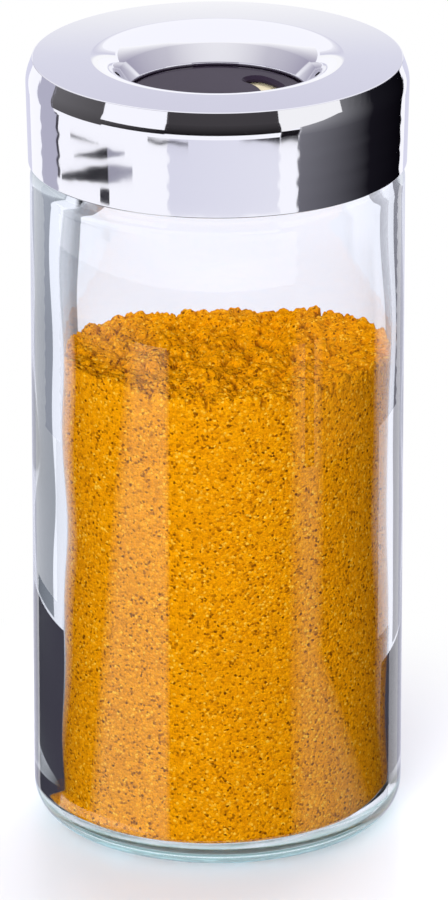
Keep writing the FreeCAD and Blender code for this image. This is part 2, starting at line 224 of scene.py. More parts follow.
def grid_faces(rows: int, columns: int, wrap_rows: bool, wrap_columns: bool) -> np.ndarray:
    """The four-sided faces of a grid of points numbered row by row.

    Args:
        rows: points along the first way.
        columns: points along the second way.
        wrap_rows: whether the last row joins the first.
        wrap_columns: whether the last column joins the first.

    Returns:
        An array of four point numbers a face.
    """
    row = np.arange(rows if wrap_rows else rows - 1)
    column = np.arange(columns if wrap_columns else columns - 1)
    near, left = (each.ravel() for each in np.meshgrid(row, column, indexing="ij"))
    right = (left + 1) % columns
    here = near * columns
    ahead = (near + 1) % rows * columns
    return np.stack([here + left, here + right, ahead + right, ahead + left], 1)


def build_mesh(name: str, points: np.ndarray, faces: list[np.ndarray]) -> bpy.types.Object:
    """Puts whole arrays of points and faces into one smooth mesh object at the origin.

    Args:
        name: the name of the object.
        points: an array of coordinates.
        faces: arrays of three or four point numbers a face.

    Returns:
        The linked object.
    """
    mesh = bpy.data.meshes.new(name)
    mesh.vertices.add(len(points))
    mesh.vertices.foreach_set("co", np.ascontiguousarray(points, dtype=np.float32).ravel())
    loops = np.concatenate([group.ravel() for group in faces]).astype(np.int32)
    sizes = np.concatenate([np.full(len(group), group.shape[1], dtype=np.int32) for group in faces])
    starts = np.concatenate([[0], np.cumsum(sizes)[:-1]]).astype(np.int32)
    mesh.loops.add(len(loops))
    mesh.loops.foreach_set("vertex_index", loops)
    mesh.polygons.add(len(sizes))
    mesh.polygons.foreach_set("loop_start", starts)
    mesh.polygons.foreach_set("use_smooth", np.ones(len(sizes), dtype=bool))
    mesh.update(calc_edges=True)
    mesh.validate()
    piece = bpy.data.objects.new(name, mesh)
    bpy.context.scene.collection.objects.link(piece)
    return piece


def lathe_mesh(name: str, grid: np.ndarray, closed: bool) -> bpy.types.Object:
    """Makes a turned piece from a grid of outline points round the axis.

    A closed outline gives a ring. An open one starts and ends on the axis, and its first and last rows
    shrink to one pole point each.

    Args:
        name: the name of the object.
        grid: points, outline by segment by coordinate.
        closed: whether the outline is a closed loop.

    Returns:
        The linked object.
    """
    if closed:
        rows, columns = grid.shape[:2]
        return build_mesh(name, grid.reshape(-1, 3), [grid_faces(rows, columns, True, True)])
    body = grid[1:-1]
    rows, columns = body.shape[:2]
    poles = np.stack([grid[0].mean(axis=0), grid[-1].mean(axis=0)])
    points = np.concatenate([body.reshape(-1, 3), poles])
    ring = np.arange(columns)
    following = (ring + 1) % columns
    first = np.stack([np.full(columns, rows * columns), following, ring], 1)
    offset = (rows - 1) * columns
    last = np.stack([np.full(columns, rows * columns + 1), offset + ring, offset + following], 1)
    return build_mesh(name, points, [grid_faces(rows, columns, False, True), first, last])


def smooth_step(share: np.ndarray) -> np.ndarray:
    """Eases a share from 0 to 1 at both ends: three times its square less twice its cube."""
    return share * share * (3.0 - 2.0 * share)


# Finishes


@dataclass(frozen=True)
class ClearGlass:
    """Pressed soda-lime glass.

    To the eye its walls are clear. It is aqua where one looks along a thick stretch, and hazy at the foot,
    which is stippled underneath.

    Attributes:
        refraction: refractive index.
        depth_hex: the tone that long ways through the glass take on.
        depth_density: how soon they take it on.
        stipple_roughness: roughness of the stippled foot.
        stipple_radius: radius of the stippled foot.
        stipple_top: height that the stipple reaches to.
        haze_hex: tone of the haze at the heel.
        haze_top: height at which the haze starts.
        haze_full: height below which it is full.
        haze_range: values of the ring pattern between which the haze grows.
        haze_share: share of the haze at those two values.
        ring_mm: spacing of the rings that streak the haze.
        ring_stretch: how the ring pattern is drawn out sideways.
        shade_hex: tone of the light that passes through to the contents and the ground.
        glow_hex: tone of the painted glow that stands in for light trapped in the wall.
        trapped_turns: mirror turns after which light counts as trapped.
        glow_low: strength of that light in the lower wall.
        glow_high: its strength under the cap.
        glow_start: height at which it starts to grow.
        glow_full: height at which it is full.
    """

    refraction: float = 1.52
    depth_hex: str = "8ed2da"
    depth_density: float = 10.0
    stipple_roughness: float = 0.32
    stipple_radius: float = 20.0 * MM
    stipple_top: float = 1.3 * MM
    haze_hex: str = "bfeaf0"
    haze_top: float = 2.6 * MM
    haze_full: float = 1.4 * MM
    haze_range: tuple[float, float] = (0.35, 0.65)
    haze_share: tuple[float, float] = (0.3, 0.75)
    ring_mm: float = 0.7
    ring_stretch: tuple[float, float, float] = (0.12, 0.12, 1.0)
    shade_hex: str = "f6f9f9"
    glow_hex: str = "e6e8f2"
    trapped_turns: float = 2.5
    glow_low: float = 0.22
    glow_high: float = 0.9
    glow_start: float = 68.0 * MM
    glow_full: float = 84.0 * MM

    def material(self) -> bpy.types.Material:
        """Builds the glass.

        Lamps pass through it, so that the contents and the ground are lit. Where light is turned round more
        than twice inside the wall, the glass shows a painted pale glow, brightest near the cap.

        Returns:
            The finished material.
        """
        material, tree = new_material("soda_lime_glass")
        place = add_node(tree, "ShaderNodeTexCoord").outputs["Object"]
        split = add_node(tree, "ShaderNodeSeparateXYZ", {0: place})
        height = split.outputs["Z"]
        level = add_node(tree, "ShaderNodeCombineXYZ", {0: split.outputs["X"], 1: split.outputs["Y"]})
        away = add_node(tree, "ShaderNodeVectorMath", {0: level.outputs[0]}, operation="LENGTH")
        within = add_node(tree, "ShaderNodeMath", {
            0: away.outputs["Value"], 1: self.stipple_radius,
        }, operation="LESS_THAN")
        below = add_node(tree, "ShaderNodeMath", {0: height, 1: self.stipple_top}, operation="LESS_THAN")
        foot = add_node(tree, "ShaderNodeMath", {
            0: within.outputs[0], 1: below.outputs[0],
        }, operation="MULTIPLY")
        stipple = add_node(tree, "ShaderNodeMath", {
            0: foot.outputs[0], 1: self.stipple_roughness,
        }, operation="MULTIPLY")
        glass = add_node(tree, "ShaderNodeBsdfPrincipled", {
            "Base Color": linear(WHITE), "Roughness": stipple.outputs[0], "IOR": self.refraction,
            "Transmission Weight": 1.0,
        })
        flat = add_node(tree, "ShaderNodeVectorMath", {0: place, 1: self.ring_stretch}, operation="MULTIPLY")
        rings = add_node(tree, "ShaderNodeTexNoise", {
            "Vector": flat.outputs[0], "Scale": per_metre(self.ring_mm), "Detail": 2.0,
        })
        low = add_node(tree, "ShaderNodeMapRange", {
            "Value": height, "From Min": self.haze_top, "From Max": self.haze_full,
        })
        streaks = add_node(tree, "ShaderNodeMapRange", {
            "Value": rings.outputs["Fac"], "From Min": self.haze_range[0], "From Max": self.haze_range[1],
            "To Min": self.haze_share[0], "To Max": self.haze_share[1],
        })
        haze = add_node(tree, "ShaderNodeMath", {
            0: low.outputs[0], 1: streaks.outputs[0],
        }, operation="MULTIPLY")
        milk = add_node(tree, "ShaderNodeBsdfDiffuse", {"Color": linear(self.haze_hex)})
        hazy = add_node(tree, "ShaderNodeMixShader", {
            0: haze.outputs[0], 1: glass.outputs[0], 2: milk.outputs[0],
        })
        path = add_node(tree, "ShaderNodeLightPath")
        # painted glow: light turned round inside the wall is drawn as emission
        trapped = add_node(tree, "ShaderNodeMath", {
            0: path.outputs["Glossy Depth"], 1: self.trapped_turns,
        }, operation="GREATER_THAN")
        bright = add_node(tree, "ShaderNodeMapRange", {
            "Value": height, "From Min": self.glow_start, "From Max": self.glow_full,
            "To Min": self.glow_low, "To Max": self.glow_high,
        })
        glow = add_node(tree, "ShaderNodeEmission", {
            "Color": linear(self.glow_hex), "Strength": bright.outputs[0],
        })
        glowing = add_node(tree, "ShaderNodeMixShader", {
            0: trapped.outputs[0], 1: hazy.outputs[0], 2: glow.outputs[0],
        })
        shade = add_node(tree, "ShaderNodeBsdfTransparent", {"Color": linear(self.shade_hex)})
        either = add_node(tree, "ShaderNodeMixShader", {
            0: path.outputs["Is Shadow Ray"], 1: glowing.outputs[0], 2: shade.outputs[0],
        })
        depth = add_node(tree, "ShaderNodeVolumeAbsorption", {
            "Color": linear(self.depth_hex), "Density": self.depth_density,
        })
        add_node(tree, "ShaderNodeOutputMaterial", {
            "Surface": either.outputs[0], "Volume": depth.outputs[0],
        })
        return material


@dataclass(frozen=True)
class GroundSpice:
    """Milled spice blend.

    To the eye it is a dull bed of grains from burnt brown over orange to pale yellow, darker in its clumps,
    with painted shade in the gaps between grains and in the creases of its top. The three shadings hold
    the value at which a darker tone starts, the one at which it is full, and its share there.
    """

    # a real blend is partly finer; its grains are drawn this coarse so that they show in the render
    grain_mm: float = 0.32
    speck_mm: float = 0.22
    clump_mm: float = 3.0
    relief_mm: float = 0.16
    relief_strength: float = 0.8
    # the gaps between grains darken with painted shade
    painted_gap_shade: tuple[float, float, float] = (0.45, 0.85, 0.5)
    clump_shading: tuple[float, float, float] = (0.5, 0.8, 0.6)
    speck_shading: tuple[float, float, float] = (0.62, 0.72, 0.55)
    # dark brown of the specks, and the painted shade in the creases
    speck_and_crease_shade_hex: str = "9a5604"
    # tone of the clumps, and the painted shade in the gaps between grains
    clump_and_gap_shade_hex: str = "e08c06"
    grain_tones: tuple[tuple[float, str], ...] = (
        (0.0, "6e3a05"), (0.05, "a25c05"), (0.16, "dc8804"),
        (0.55, "f29c04"), (0.9, "fba808"), (1.0, "ffc640"),
    )

    def material(self) -> bpy.types.Material:
        """Builds the powder.

        Each grain is a cell with a tone of its own; clumps darken it, painted shade darkens the gaps between
        grains and the creases that the heap carries as an attribute, and the cells give its relief.

        Returns:
            The finished material.
        """
        material, tree = new_material("ground_spice")
        place = add_node(tree, "ShaderNodeTexCoord").outputs["Object"]
        grains = add_node(tree, "ShaderNodeTexVoronoi", {"Vector": place, "Scale": per_metre(self.grain_mm)})
        specks = add_node(tree, "ShaderNodeTexNoise", {
            "Vector": place, "Scale": per_metre(self.speck_mm), "Detail": 1.0,
        })
        clumps = add_node(tree, "ShaderNodeTexNoise", {
            "Vector": place, "Scale": per_metre(self.clump_mm), "Detail": 3.0, "Roughness": 0.6,
        })
        chance = add_node(tree, "ShaderNodeSeparateColor", {"Color": grains.outputs["Color"]})
        ramp = add_node(tree, "ShaderNodeValToRGB", {"Fac": chance.outputs["Red"]})
        stops = ramp.color_ramp.elements
        while len(stops) < len(self.grain_tones):
            stops.new(0.5)
        for stop, (position, tone) in zip(stops, self.grain_tones):
            stop.position = position
            stop.color = linear(tone)
        colour = ramp.outputs["Color"]
        # painted shade in the gaps between grains; the clumps and specks are the powder's own tones
        for amount, (start, full, most), tone in (
            (grains.outputs["Distance"], self.painted_gap_shade, self.clump_and_gap_shade_hex),
            (clumps.outputs["Fac"], self.clump_shading, self.clump_and_gap_shade_hex),
            (specks.outputs["Fac"], self.speck_shading, self.speck_and_crease_shade_hex),
        ):
            share = add_node(tree, "ShaderNodeMapRange", {
                "Value": amount, "From Min": start, "From Max": full, "To Max": most,
            })
            shaded = add_node(tree, "ShaderNodeMix", {
                "Factor": share.outputs[0], "A": colour, "B": linear(tone),
            }, data_type="RGBA")
            colour = shaded.outputs["Result"]
        # painted shade in the creases of the top
        painted_crease_shade = add_node(tree, "ShaderNodeAttribute", attribute_name="painted_crease_shade")
        crease_shaded = add_node(tree, "ShaderNodeMix", {
            "Factor": painted_crease_shade.outputs["Fac"], "A": colour, "B": linear(self.speck_and_crease_shade_hex),
        }, data_type="RGBA")
        relief = add_node(tree, "ShaderNodeBump", {
            "Height": grains.outputs["Distance"], "Distance": self.relief_mm * MM,
            "Strength": self.relief_strength,
        }, invert=True)
        powder = add_node(tree, "ShaderNodeBsdfPrincipled", {
            "Base Color": crease_shaded.outputs["Result"], "Roughness": 1.0, "Normal": relief.outputs[0],
            "Specular IOR Level": 0.0,
        })
        add_node(tree, "ShaderNodeOutputMaterial", {"Surface": powder.outputs[0]})
        return material


@dataclass(frozen=True)
class ChromePlate:
    """Bright chrome plating on moulded plastic.

    To the eye it is a cool mirror whose reflections wander a little, because the faint sinks of the
    moulding show through on the wall. The inside is left bare and shows pale plastic.

    Attributes:
        metal_hex: tone of the plating.
        roughness: mean roughness of the plating.
        gloss_range: least and most roughness as shares of the mean.
        smear_mm: size of the patches between which the gloss varies.
        ripple_mm: spacing of the sinks.
        ripple_depth_mm: depth of the sinks.
        ripple_low: height up to which the sinks are full.
        ripple_high: height from which there are none.
        bare_hex: tone of the bare plastic.
        bare_roughness: roughness of the bare plastic.
        bare_inner: radius beyond which the inside is bare.
        bare_outer: radius up to which it is bare.
        bare_top: height up to which it is bare.
    """

    metal_hex: str = "f0f0f5"
    roughness: float = 0.035
    gloss_range: tuple[float, float] = (0.6, 1.6)
    smear_mm: float = 6.0
    ripple_mm: float = 2.6
    ripple_depth_mm: float = 0.004
    ripple_low: float = 103.0 * MM
    ripple_high: float = 106.0 * MM
    bare_hex: str = "dedcd6"
    bare_roughness: float = 0.45
    bare_inner: float = 15.2 * MM
    bare_outer: float = 24.47 * MM
    bare_top: float = 105.75 * MM

    def material(self) -> bpy.types.Material:
        """Builds the plating: low ripples wander the reflections of its wall, and its inside stays bare.

        Returns:
            The finished material.
        """
        material, tree = new_material("chrome_plating")
        place = add_node(tree, "ShaderNodeTexCoord").outputs["Object"]
        split = add_node(tree, "ShaderNodeSeparateXYZ", {0: place})
        height = split.outputs["Z"]
        ripple = add_node(tree, "ShaderNodeTexNoise", {
            "Vector": place, "Scale": per_metre(self.ripple_mm), "Detail": 0.5,
        })
        smear = add_node(tree, "ShaderNodeTexNoise", {
            "Vector": place, "Scale": per_metre(self.smear_mm), "Detail": 4.0,
        })
        gloss = add_node(tree, "ShaderNodeMapRange", {
            "Value": smear.outputs["Fac"], "To Min": self.roughness * self.gloss_range[0],
            "To Max": self.roughness * self.gloss_range[1],
        })
        wall = add_node(tree, "ShaderNodeMapRange", {
            "Value": height, "From Min": self.ripple_high, "From Max": self.ripple_low,
        })
        relief = add_node(tree, "ShaderNodeBump", {
            "Height": ripple.outputs["Fac"], "Distance": self.ripple_depth_mm * MM,
            "Strength": wall.outputs[0],
        })
        metal = add_node(tree, "ShaderNodeBsdfPrincipled", {
            "Base Color": linear(self.metal_hex), "Metallic": 1.0, "Roughness": gloss.outputs[0],
            "Normal": relief.outputs[0],
        })
        bare = add_node(tree, "ShaderNodeBsdfPrincipled", {
            "Base Color": linear(self.bare_hex), "Roughness": self.bare_roughness,
        })
        level = add_node(tree, "ShaderNodeCombineXYZ", {0: split.outputs["X"], 1: split.outputs["Y"]})
        away = add_node(tree, "ShaderNodeVectorMath", {0: level.outputs[0]}, operation="LENGTH")
        beyond = add_node(tree, "ShaderNodeMath", {
            0: away.outputs["Value"], 1: self.bare_inner,
        }, operation="GREATER_THAN")
        within = add_node(tree, "ShaderNodeMath", {
            0: away.outputs["Value"], 1: self.bare_outer,
        }, operation="LESS_THAN")
        below = add_node(tree, "ShaderNodeMath", {0: height, 1: self.bare_top}, operation="LESS_THAN")
        ring = add_node(tree, "ShaderNodeMath", {
            0: beyond.outputs[0], 1: within.outputs[0],
        }, operation="MULTIPLY")
        inside = add_node(tree, "ShaderNodeMath", {
            0: ring.outputs[0], 1: below.outputs[0],
        }, operation="MULTIPLY")
        both = add_node(tree, "ShaderNodeMixShader", {
            0: inside.outputs[0], 1: metal.outputs[0], 2: bare.outputs[0],
        })
        add_node(tree, "ShaderNodeOutputMaterial", {"Surface": both.outputs[0]})
        return material


@dataclass(frozen=True)
class MouldedPlastic:
    """Moulded plastic: an even colour with a faint mottle and the soft texture of the tool.

    Attributes:
        name: what the plastic is.
        body_hex: its colour.
        mottle_hex: the colour that it drifts to in patches.
        roughness: how dull it is.
        texture_mm: spacing of the tool's texture.
        relief_mm: depth of that texture.
        shine: level of its mirror reflection, 0.5 being common plastic.
        mottle_mm: size of the patches of the mottle.
        gloss_range: least and most roughness as shares of the mean.
        relief_strength: how much of the relief shows.
    """

    name: str
    body_hex: str
    mottle_hex: str
    roughness: float
    texture_mm: float
    relief_mm: float
    shine: float = 0.42
    mottle_mm: float = 5.0
    gloss_range: tuple[float, float] = (0.7, 1.3)
    relief_strength: float = 0.6

    def material(self) -> bpy.types.Material:
        """Builds the plastic: slow mottle in the colour, fine texture in gloss and relief.

        Returns:
            The finished material.
        """
        material, tree = new_material(self.name)
        place = add_node(tree, "ShaderNodeTexCoord").outputs["Object"]
        mottle = add_node(tree, "ShaderNodeTexNoise", {
            "Vector": place, "Scale": per_metre(self.mottle_mm), "Detail": 3.0,
        })
        texture = add_node(tree, "ShaderNodeTexNoise", {
            "Vector": place, "Scale": per_metre(self.texture_mm), "Detail": 2.0,
        })
        colour = add_node(tree, "ShaderNodeMix", {
            "Factor": mottle.outputs["Fac"], "A": linear(self.body_hex), "B": linear(self.mottle_hex),
        }, data_type="RGBA")
        gloss = add_node(tree, "ShaderNodeMapRange", {
            "Value": texture.outputs["Fac"], "To Min": self.roughness * self.gloss_range[0],
            "To Max": self.roughness * self.gloss_range[1],
        })
        relief = add_node(tree, "ShaderNodeBump", {
            "Height": texture.outputs["Fac"], "Distance": self.relief_mm * MM,
            "Strength": self.relief_strength,
        })
        plastic = add_node(tree, "ShaderNodeBsdfPrincipled", {
            "Base Color": colour.outputs["Result"], "Roughness": gloss.outputs[0],
            "Normal": relief.outputs[0], "Specular IOR Level": self.shine,
        })
        add_node(tree, "ShaderNodeOutputMaterial", {"Surface": plastic.outputs[0]})
        return material


# black ABS from a polished tool: almost black with a breath of violet, and smooth
BLACK_GLOSS = MouldedPlastic(
    "black_gloss_abs", body_hex="251d2b", mottle_hex="2b2231",
    roughness=0.10, texture_mm=1.2, relief_mm=0.002, shine=0.04,
)
# moulded ivory polypropylene: warm and pale, with a waxy sheen
IVORY = MouldedPlastic(
    "ivory_polypropylene", body_hex="d3c8ad", mottle_hex="c9bd9f",
    roughness=0.38, texture_mm=0.8, relief_mm=0.004,
)
# pressed white silicone: cool, milky and dull
SILICONE = MouldedPlastic(
    "translucent_white_silicone", body_hex="e4e5e0", mottle_hex="d8dad5",
    roughness=0.5, texture_mm=0.6, relief_mm=0.003,
)


# Sub-assemblies


def finish(piece: bpy.types.Object, material: bpy.types.Material, body: Rides, node: str) -> None:
    """Gives a new piece its material and its body, and hides the solid that it stands for.

    Args:
        piece: the new object.
        material: its finish.
        body: what it moves with.
        node: the solid that it replaces.
    """
    piece.data.materials.append(material)
    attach(piece, body.value)
    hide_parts(node)


@dataclass
class JarBore:
    """The slightly crooked inside of the pressed glass, which the powder follows too.

    Attributes:
        radius: bore radius of the solids.
        floor: height of the inner floor.
        roof: height where the inner shoulder starts.
        drift: how far the bore stands off the axis, to the right.
        ease: stretch of height in which drift and waves come in and go out.
        ease_past_roof: how far above the roof they end.
        wave: depth of the waves of the wall.
        waves: weight, turns round the axis, rise in a radian and phase of each wave.
    """

    radius: float
    floor: float
    roof: float
    drift: float = 0.8 * MM
    ease: float = 3.0 * MM
    ease_past_roof: float = 2.4 * MM
    wave: float = 0.06 * MM
    waves: tuple[tuple[float, float, float, float], ...] = (
        (1.0, 2.0, 9.0 * MM, 0.0), (0.6, 3.0, -5.5 * MM, 1.3), (0.4, 5.0, 3.6 * MM, 0.4),
    )

    def fade(self, height: np.ndarray) -> np.ndarray:
        """A smooth step that frees the wall above the heel and holds it again at the shoulder.

        Args:
            height: heights above the ground.

        Returns:
            Shares from 0, held, to 1, free.
        """
        rise = np.clip((height - self.floor) / self.ease, 0.0, 1.0)
        fall = np.clip((self.roof + self.ease_past_roof - height) / self.ease, 0.0, 1.0)
        return smooth_step(rise * fall)

    def shift(self, points: np.ndarray) -> np.ndarray:
        """Moves points of a true bore onto the crooked one.

        The whole bore drifts along x, and its radius gains a weighted sum of sines whose phases wind with
        the angle round the axis and with height; both fade out at the heel and the shoulder.

        Args:
            points: coordinates on a true turned wall.

        Returns:
            The moved coordinates.
        """
        angle = np.arctan2(points[..., 1], points[..., 0])
        height = points[..., 2]
        free = self.fade(height)
        waves = sum(
            weight * np.sin(turns * angle + height / rise + phase)
            for weight, turns, rise, phase in self.waves
        )
        grow = 1.0 + free * self.wave * waves / self.radius
        moved = points.copy()
        moved[..., 0] = points[..., 0] * grow + free * self.drift
        moved[..., 1] = points[..., 1] * grow
        return moved


@dataclass
class GlassJar:
    """The jar: heel, pushed-up base, wall, shoulder, threaded neck and lip, as one turned shell."""

    wall: float = 3.0 * MM
    base: float = 2.7 * MM
    push_up: float = 1.0 * MM
    heel: float = 4.6 * MM
    rest_ring: float = 3.4 * MM
    rest_round: float = 3.0 * MM
    inner_heel: float = 1.6 * MM
    neck_step: float = 4.0 * MM
    neck_wall: float = 3.0 * MM
    neck_height: float = 4.5 * MM
    shoulder: float = 3.0 * MM
    neck_root: float = 0.6 * MM
    lip: float = 0.9 * MM
    mouth_root: float = 1.0 * MM
    inner_shoulder_drop: float = 1.8 * MM
    inner_shoulder_rise: float = 2.2 * MM
    inner_shoulder_round: float = 3.0 * MM
    # thread beads: how far they stand out, the height in which they fall off, the rise in a turn, how many
    # there are, their share of a sector, the share of a bead in which an end runs out, spacing of rows
    thread_height: float = 0.85 * MM
    thread_flank: float = 0.46875 * MM
    thread_lead: float = 16.0 * MM
    thread_starts: int = 4
    thread_share: float = 0.62
    thread_taper: float = 0.12
    thread_step: float = 0.12 * MM
    tolerance: float = 0.01 * MM
    segments: int = 288
    step: float = 1.1 * MM

    def __post_init__(self) -> None:
        """Reads the outside of the jar from its solid."""
        low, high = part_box("glass_jar")
        self.radius = (high.x - low.x) / 2.0
        self.lip_height = high.z
        self.shoulder_height = high.z - self.neck_height
        self.neck_radius = self.radius - self.neck_step
        roof = self.shoulder_height - self.inner_shoulder_drop
        self.bore = JarBore(self.radius - self.wall, self.base, roof)

    def outline(self) -> tuple[np.ndarray, np.ndarray]:
        """Draws the shell in two parts that meet on the lip.

        Returns:
            The outer outline from the middle of the base up, and the inner one down to the middle of the
            floor.
        """
        mouth = self.neck_radius - self.neck_wall
        corners = [
            Corner(0.0, self.push_up),
            Corner(self.radius - self.heel - self.rest_ring, 0.0, self.rest_round),
            Corner(self.radius, 0.0, self.heel),
            Corner(self.radius, self.shoulder_height, self.shoulder),
            Corner(self.neck_radius, self.shoulder_height, self.neck_root),
            Corner(self.neck_radius, self.lip_height, self.lip),
            Corner(mouth, self.lip_height, self.lip),
            Corner(mouth, self.bore.roof + self.inner_shoulder_rise, self.mouth_root),
            Corner(self.bore.radius, self.bore.roof, self.inner_shoulder_round),
            Corner(self.bore.radius, self.base, self.inner_heel),
            Corner(0.0, self.base),
        ]
        whole = rounded_outline(corners, self.step, closed=False)
        top = int(np.argmax(whole[:, 1]))
        return whole[:top], whole[top:]

    def thread(self, points: np.ndarray) -> np.ndarray:
        """Raises short thread beads on the neck.

        A bead's crest climbs by the lead in a turn. Its height falls off as a Gaussian of the distance
        in height from the crest, and smoothly to nothing at the two ends of its share of the sector
        between two starts.

        Args:
            points: coordinates of the neck.

        Returns:
            The outward growth of each point.
        """
        angle = np.mod(np.arctan2(points[..., 1], points[..., 0]), 2.0 * math.pi)
        sector = 2.0 * math.pi / self.thread_starts
        along = np.mod(angle, sector) / sector - 0.5
        middle = (self.shoulder_height + self.lip_height) / 2.0
        crest = middle + along * self.thread_lead / self.thread_starts
        left = self.thread_share / 2.0 - np.abs(along)
        ends = np.clip(left / (self.thread_taper * self.thread_share), 0.0, 1.0)
        gap = (points[..., 2] - crest) / self.thread_flank
        return self.thread_height * np.exp(-gap * gap) * smooth_step(ends)

    def build(self) -> bpy.types.Object:
        """Turns the shell, threads its neck and makes its bore crooked.

        Returns:
            The shell.
        """
        outer, inner = self.outline()
        above = outer[:, 1] > self.shoulder_height + self.neck_root
        neck = above & (outer[:, 0] > self.neck_radius - self.tolerance)
        first = int(np.argmax(neck))
        ends = [Corner(*outer[first]), Corner(*outer[neck][-1])]
        fine = rounded_outline(ends, self.thread_step, closed=False)
        outer = np.concatenate([outer[:first], fine, outer[first + int(neck.sum()):]])
        outside = turn_outline(outer, self.segments)
        beaded = slice(first, first + len(fine))
        growth = self.thread(outside[beaded]) / outer[beaded, :1]
        outside[beaded, :, :2] *= (1.0 + growth)[..., None]
        inside = self.bore.shift(turn_outline(inner, self.segments))
        return lathe_mesh("glass_shell", np.concatenate([outside, inside]), closed=False)

    def dress(self) -> bpy.types.Object:
        """Builds the shell, gives it its glass and lets it stand for the solid.

        Returns:
            The dressed shell.
        """
        shell = self.build()
        finish(shell, ClearGlass().material(), Rides.JAR, "glass_jar")
        return shell


@dataclass
class SpiceHeap:
    """Ground spice: a packed column against the glass with a crumbly top."""

    bore: JarBore
    gap: float = 0.12 * MM
    foot_gap: float = 0.06 * MM
    grid: int = 216
    rows: int = 44
    heel: float = 1.65 * MM
    heel_rows: int = 8
    # smooth heap: height in the middle, lean to the front, rise of the side banks, where they start and end
    level: float = 65.5 * MM
    lean: float = math.radians(3.7)
    bank: float = 2.0 * MM
    flat_half: float = 7.0 * MM
    bank_outer: float = 22.75 * MM
    # mounds: how many balls, their radius, how far out they lie, how far they stand out, how much and how
    # fast that varies, and the turn from one to the next
    mound_count: int = 19
    mound_radius: float = 5.0 * MM
    mound_spread: float = 15.55 * MM
    mound_height: float = 1.1 * MM
    mound_vary: float = 0.4 * MM
    mound_vary_turn: float = math.radians(97.0)
    mound_turn: float = math.radians(137.5)
    # crumbs: how many, least and most radius, how much small ones prevail, the area that they cover as a
    # share of the bore's, the range of their lifts as shares of their radii, depth of the bed below them as
    # a share of the most radius, and how much the pile is flattened
    crumb_count: int = 3200
    crumb_small: float = 0.28 * MM
    crumb_large: float = 1.25 * MM
    crumb_bias: float = 1.6
    crumb_overhang: float = 1.1
    crumb_lift: tuple[float, float] = (-0.6, 0.4)
    crumb_bed: float = 0.4
    crumb_sink: float = 0.3
    # grit on the crumbs: height of its waves, how much they are bent, and their two pitches
    grit_height: float = 0.08 * MM
    grit_bend: float = 3.0
    grit_waves: tuple[tuple[float, float], ...] = ((0.17 * MM, 0.43 * MM), (0.19 * MM, 0.39 * MM))
    # painted crease shade: half the width of the square whose mean counts, in places, and the depth of a full
    # crease
    crease_cells: int = 4
    crease_depth: float = 0.6 * MM
    seed: int = 11

    def __post_init__(self) -> None:
        """Reads the floor of the fill from its solid."""
        low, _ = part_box("spice_fill")
        self.floor = low.z + self.foot_gap

    def banks(self, x: np.ndarray, y: np.ndarray) -> np.ndarray:
        """The smooth heap: level in the middle, rising to both sides and towards the front.

        A height is the level, plus the bank times the share of the way from the flat middle to the bank's
        outer end, less the depth times the tangent of the lean.

        Args:
            x: places across.
            y: places in depth.

        Returns:
            Heights above the ground.
        """
        side = np.maximum(np.abs(x) - self.flat_half, 0.0) / (self.bank_outer - self.flat_half)
        return self.level + self.bank * side - y * math.tan(self.lean)

    def mounds(self, x: np.ndarray, y: np.ndarray) -> np.ndarray:
        """The smooth heap with the upper parts of balls on it.

        The balls are wound outwards: each one's bearing is its number times a fixed turn and its
        distance goes with the square root of its number. Its top stands out of the heap by a height that
        varies as a sine of its number. A place takes the highest surface above it.

        Args:
            x: places across.
            y: places in depth.

        Returns:
            Heights above the ground.
        """
        number = np.arange(1, self.mound_count + 1)
        away = self.mound_spread * np.sqrt((number - 0.5) / self.mound_count)
        middle_x = away * np.cos(number * self.mound_turn)
        middle_y = away * np.sin(number * self.mound_turn)
        top = self.mound_height + self.mound_vary * np.sin(number * self.mound_vary_turn)
        middle_z = self.banks(middle_x, middle_y) + top - self.mound_radius
        apart = (x[..., None] - middle_x) ** 2 + (y[..., None] - middle_y) ** 2
        balls = middle_z + np.sqrt(np.maximum(self.mound_radius ** 2 - apart, 0.0))
        return np.maximum(self.banks(x, y), balls.max(axis=-1))

    def crumbs(self, x: np.ndarray, y: np.ndarray) -> np.ndarray:
        """Round crumbs as a height field about zero.

        A place's height is the highest of the half spheres above it, each raised or sunk by a share of its
        radius, so that crumbs pile into clumps with creases between them. The pile is then flattened, and
        two waves, each bent by a second one that crosses it, roughen it with grit.

        Args:
            x: places across.
            y: places in depth.

        Returns:
            Heights above the smooth heap.
        """
        draw = np.random.default_rng(self.seed)
        spread = self.bore.radius * np.sqrt(draw.uniform(0.0, self.crumb_overhang, self.crumb_count))
        bearing = draw.uniform(0.0, 2.0 * math.pi, self.crumb_count)
        chance = draw.uniform(0.0, 1.0, self.crumb_count) ** self.crumb_bias
        sizes = self.crumb_small * (self.crumb_large / self.crumb_small) ** chance
        lifts = draw.uniform(*self.crumb_lift, self.crumb_count) * sizes
        field = np.full_like(x, -self.crumb_bed * self.crumb_large)
        middles = zip(spread * np.cos(bearing), spread * np.sin(bearing), sizes, lifts)
        for middle_x, middle_y, size, lift in middles:
            away = (x - middle_x) ** 2 + (y - middle_y) ** 2
            dome = np.sqrt(np.maximum(size ** 2 - away, 0.0)) + lift
            field = np.where(away < size ** 2, np.maximum(field, dome), field)
        field = field * (1.0 - self.crumb_sink)
        for (along, across), (pitch, cross_pitch) in zip(((x, y), (y, x)), self.grit_waves):
            bend = self.grit_bend * np.sin(across / cross_pitch)
            field += self.grit_height * np.sin(along / pitch + bend)
        return field - field.mean()

    def creases(self, height: np.ndarray) -> np.ndarray:
        """How far each place of the top lies in a crease, from 0 to 1, which sets the shade painted there.

        A place's depth is the mean height of the square of places around it less its own height.

        Args:
            height: the grid of heights.

        Returns:
            The grid of shares.
        """
        reach = self.crease_cells
        size = 2 * reach + 1
        padded = np.pad(height, reach, mode="edge")
        columns = np.lib.stride_tricks.sliding_window_view(padded, size, axis=0).mean(axis=-1)
        mean = np.lib.stride_tricks.sliding_window_view(columns, size, axis=1).mean(axis=-1)
        return np.clip((mean - height) / self.crease_depth, 0.0, 1.0)

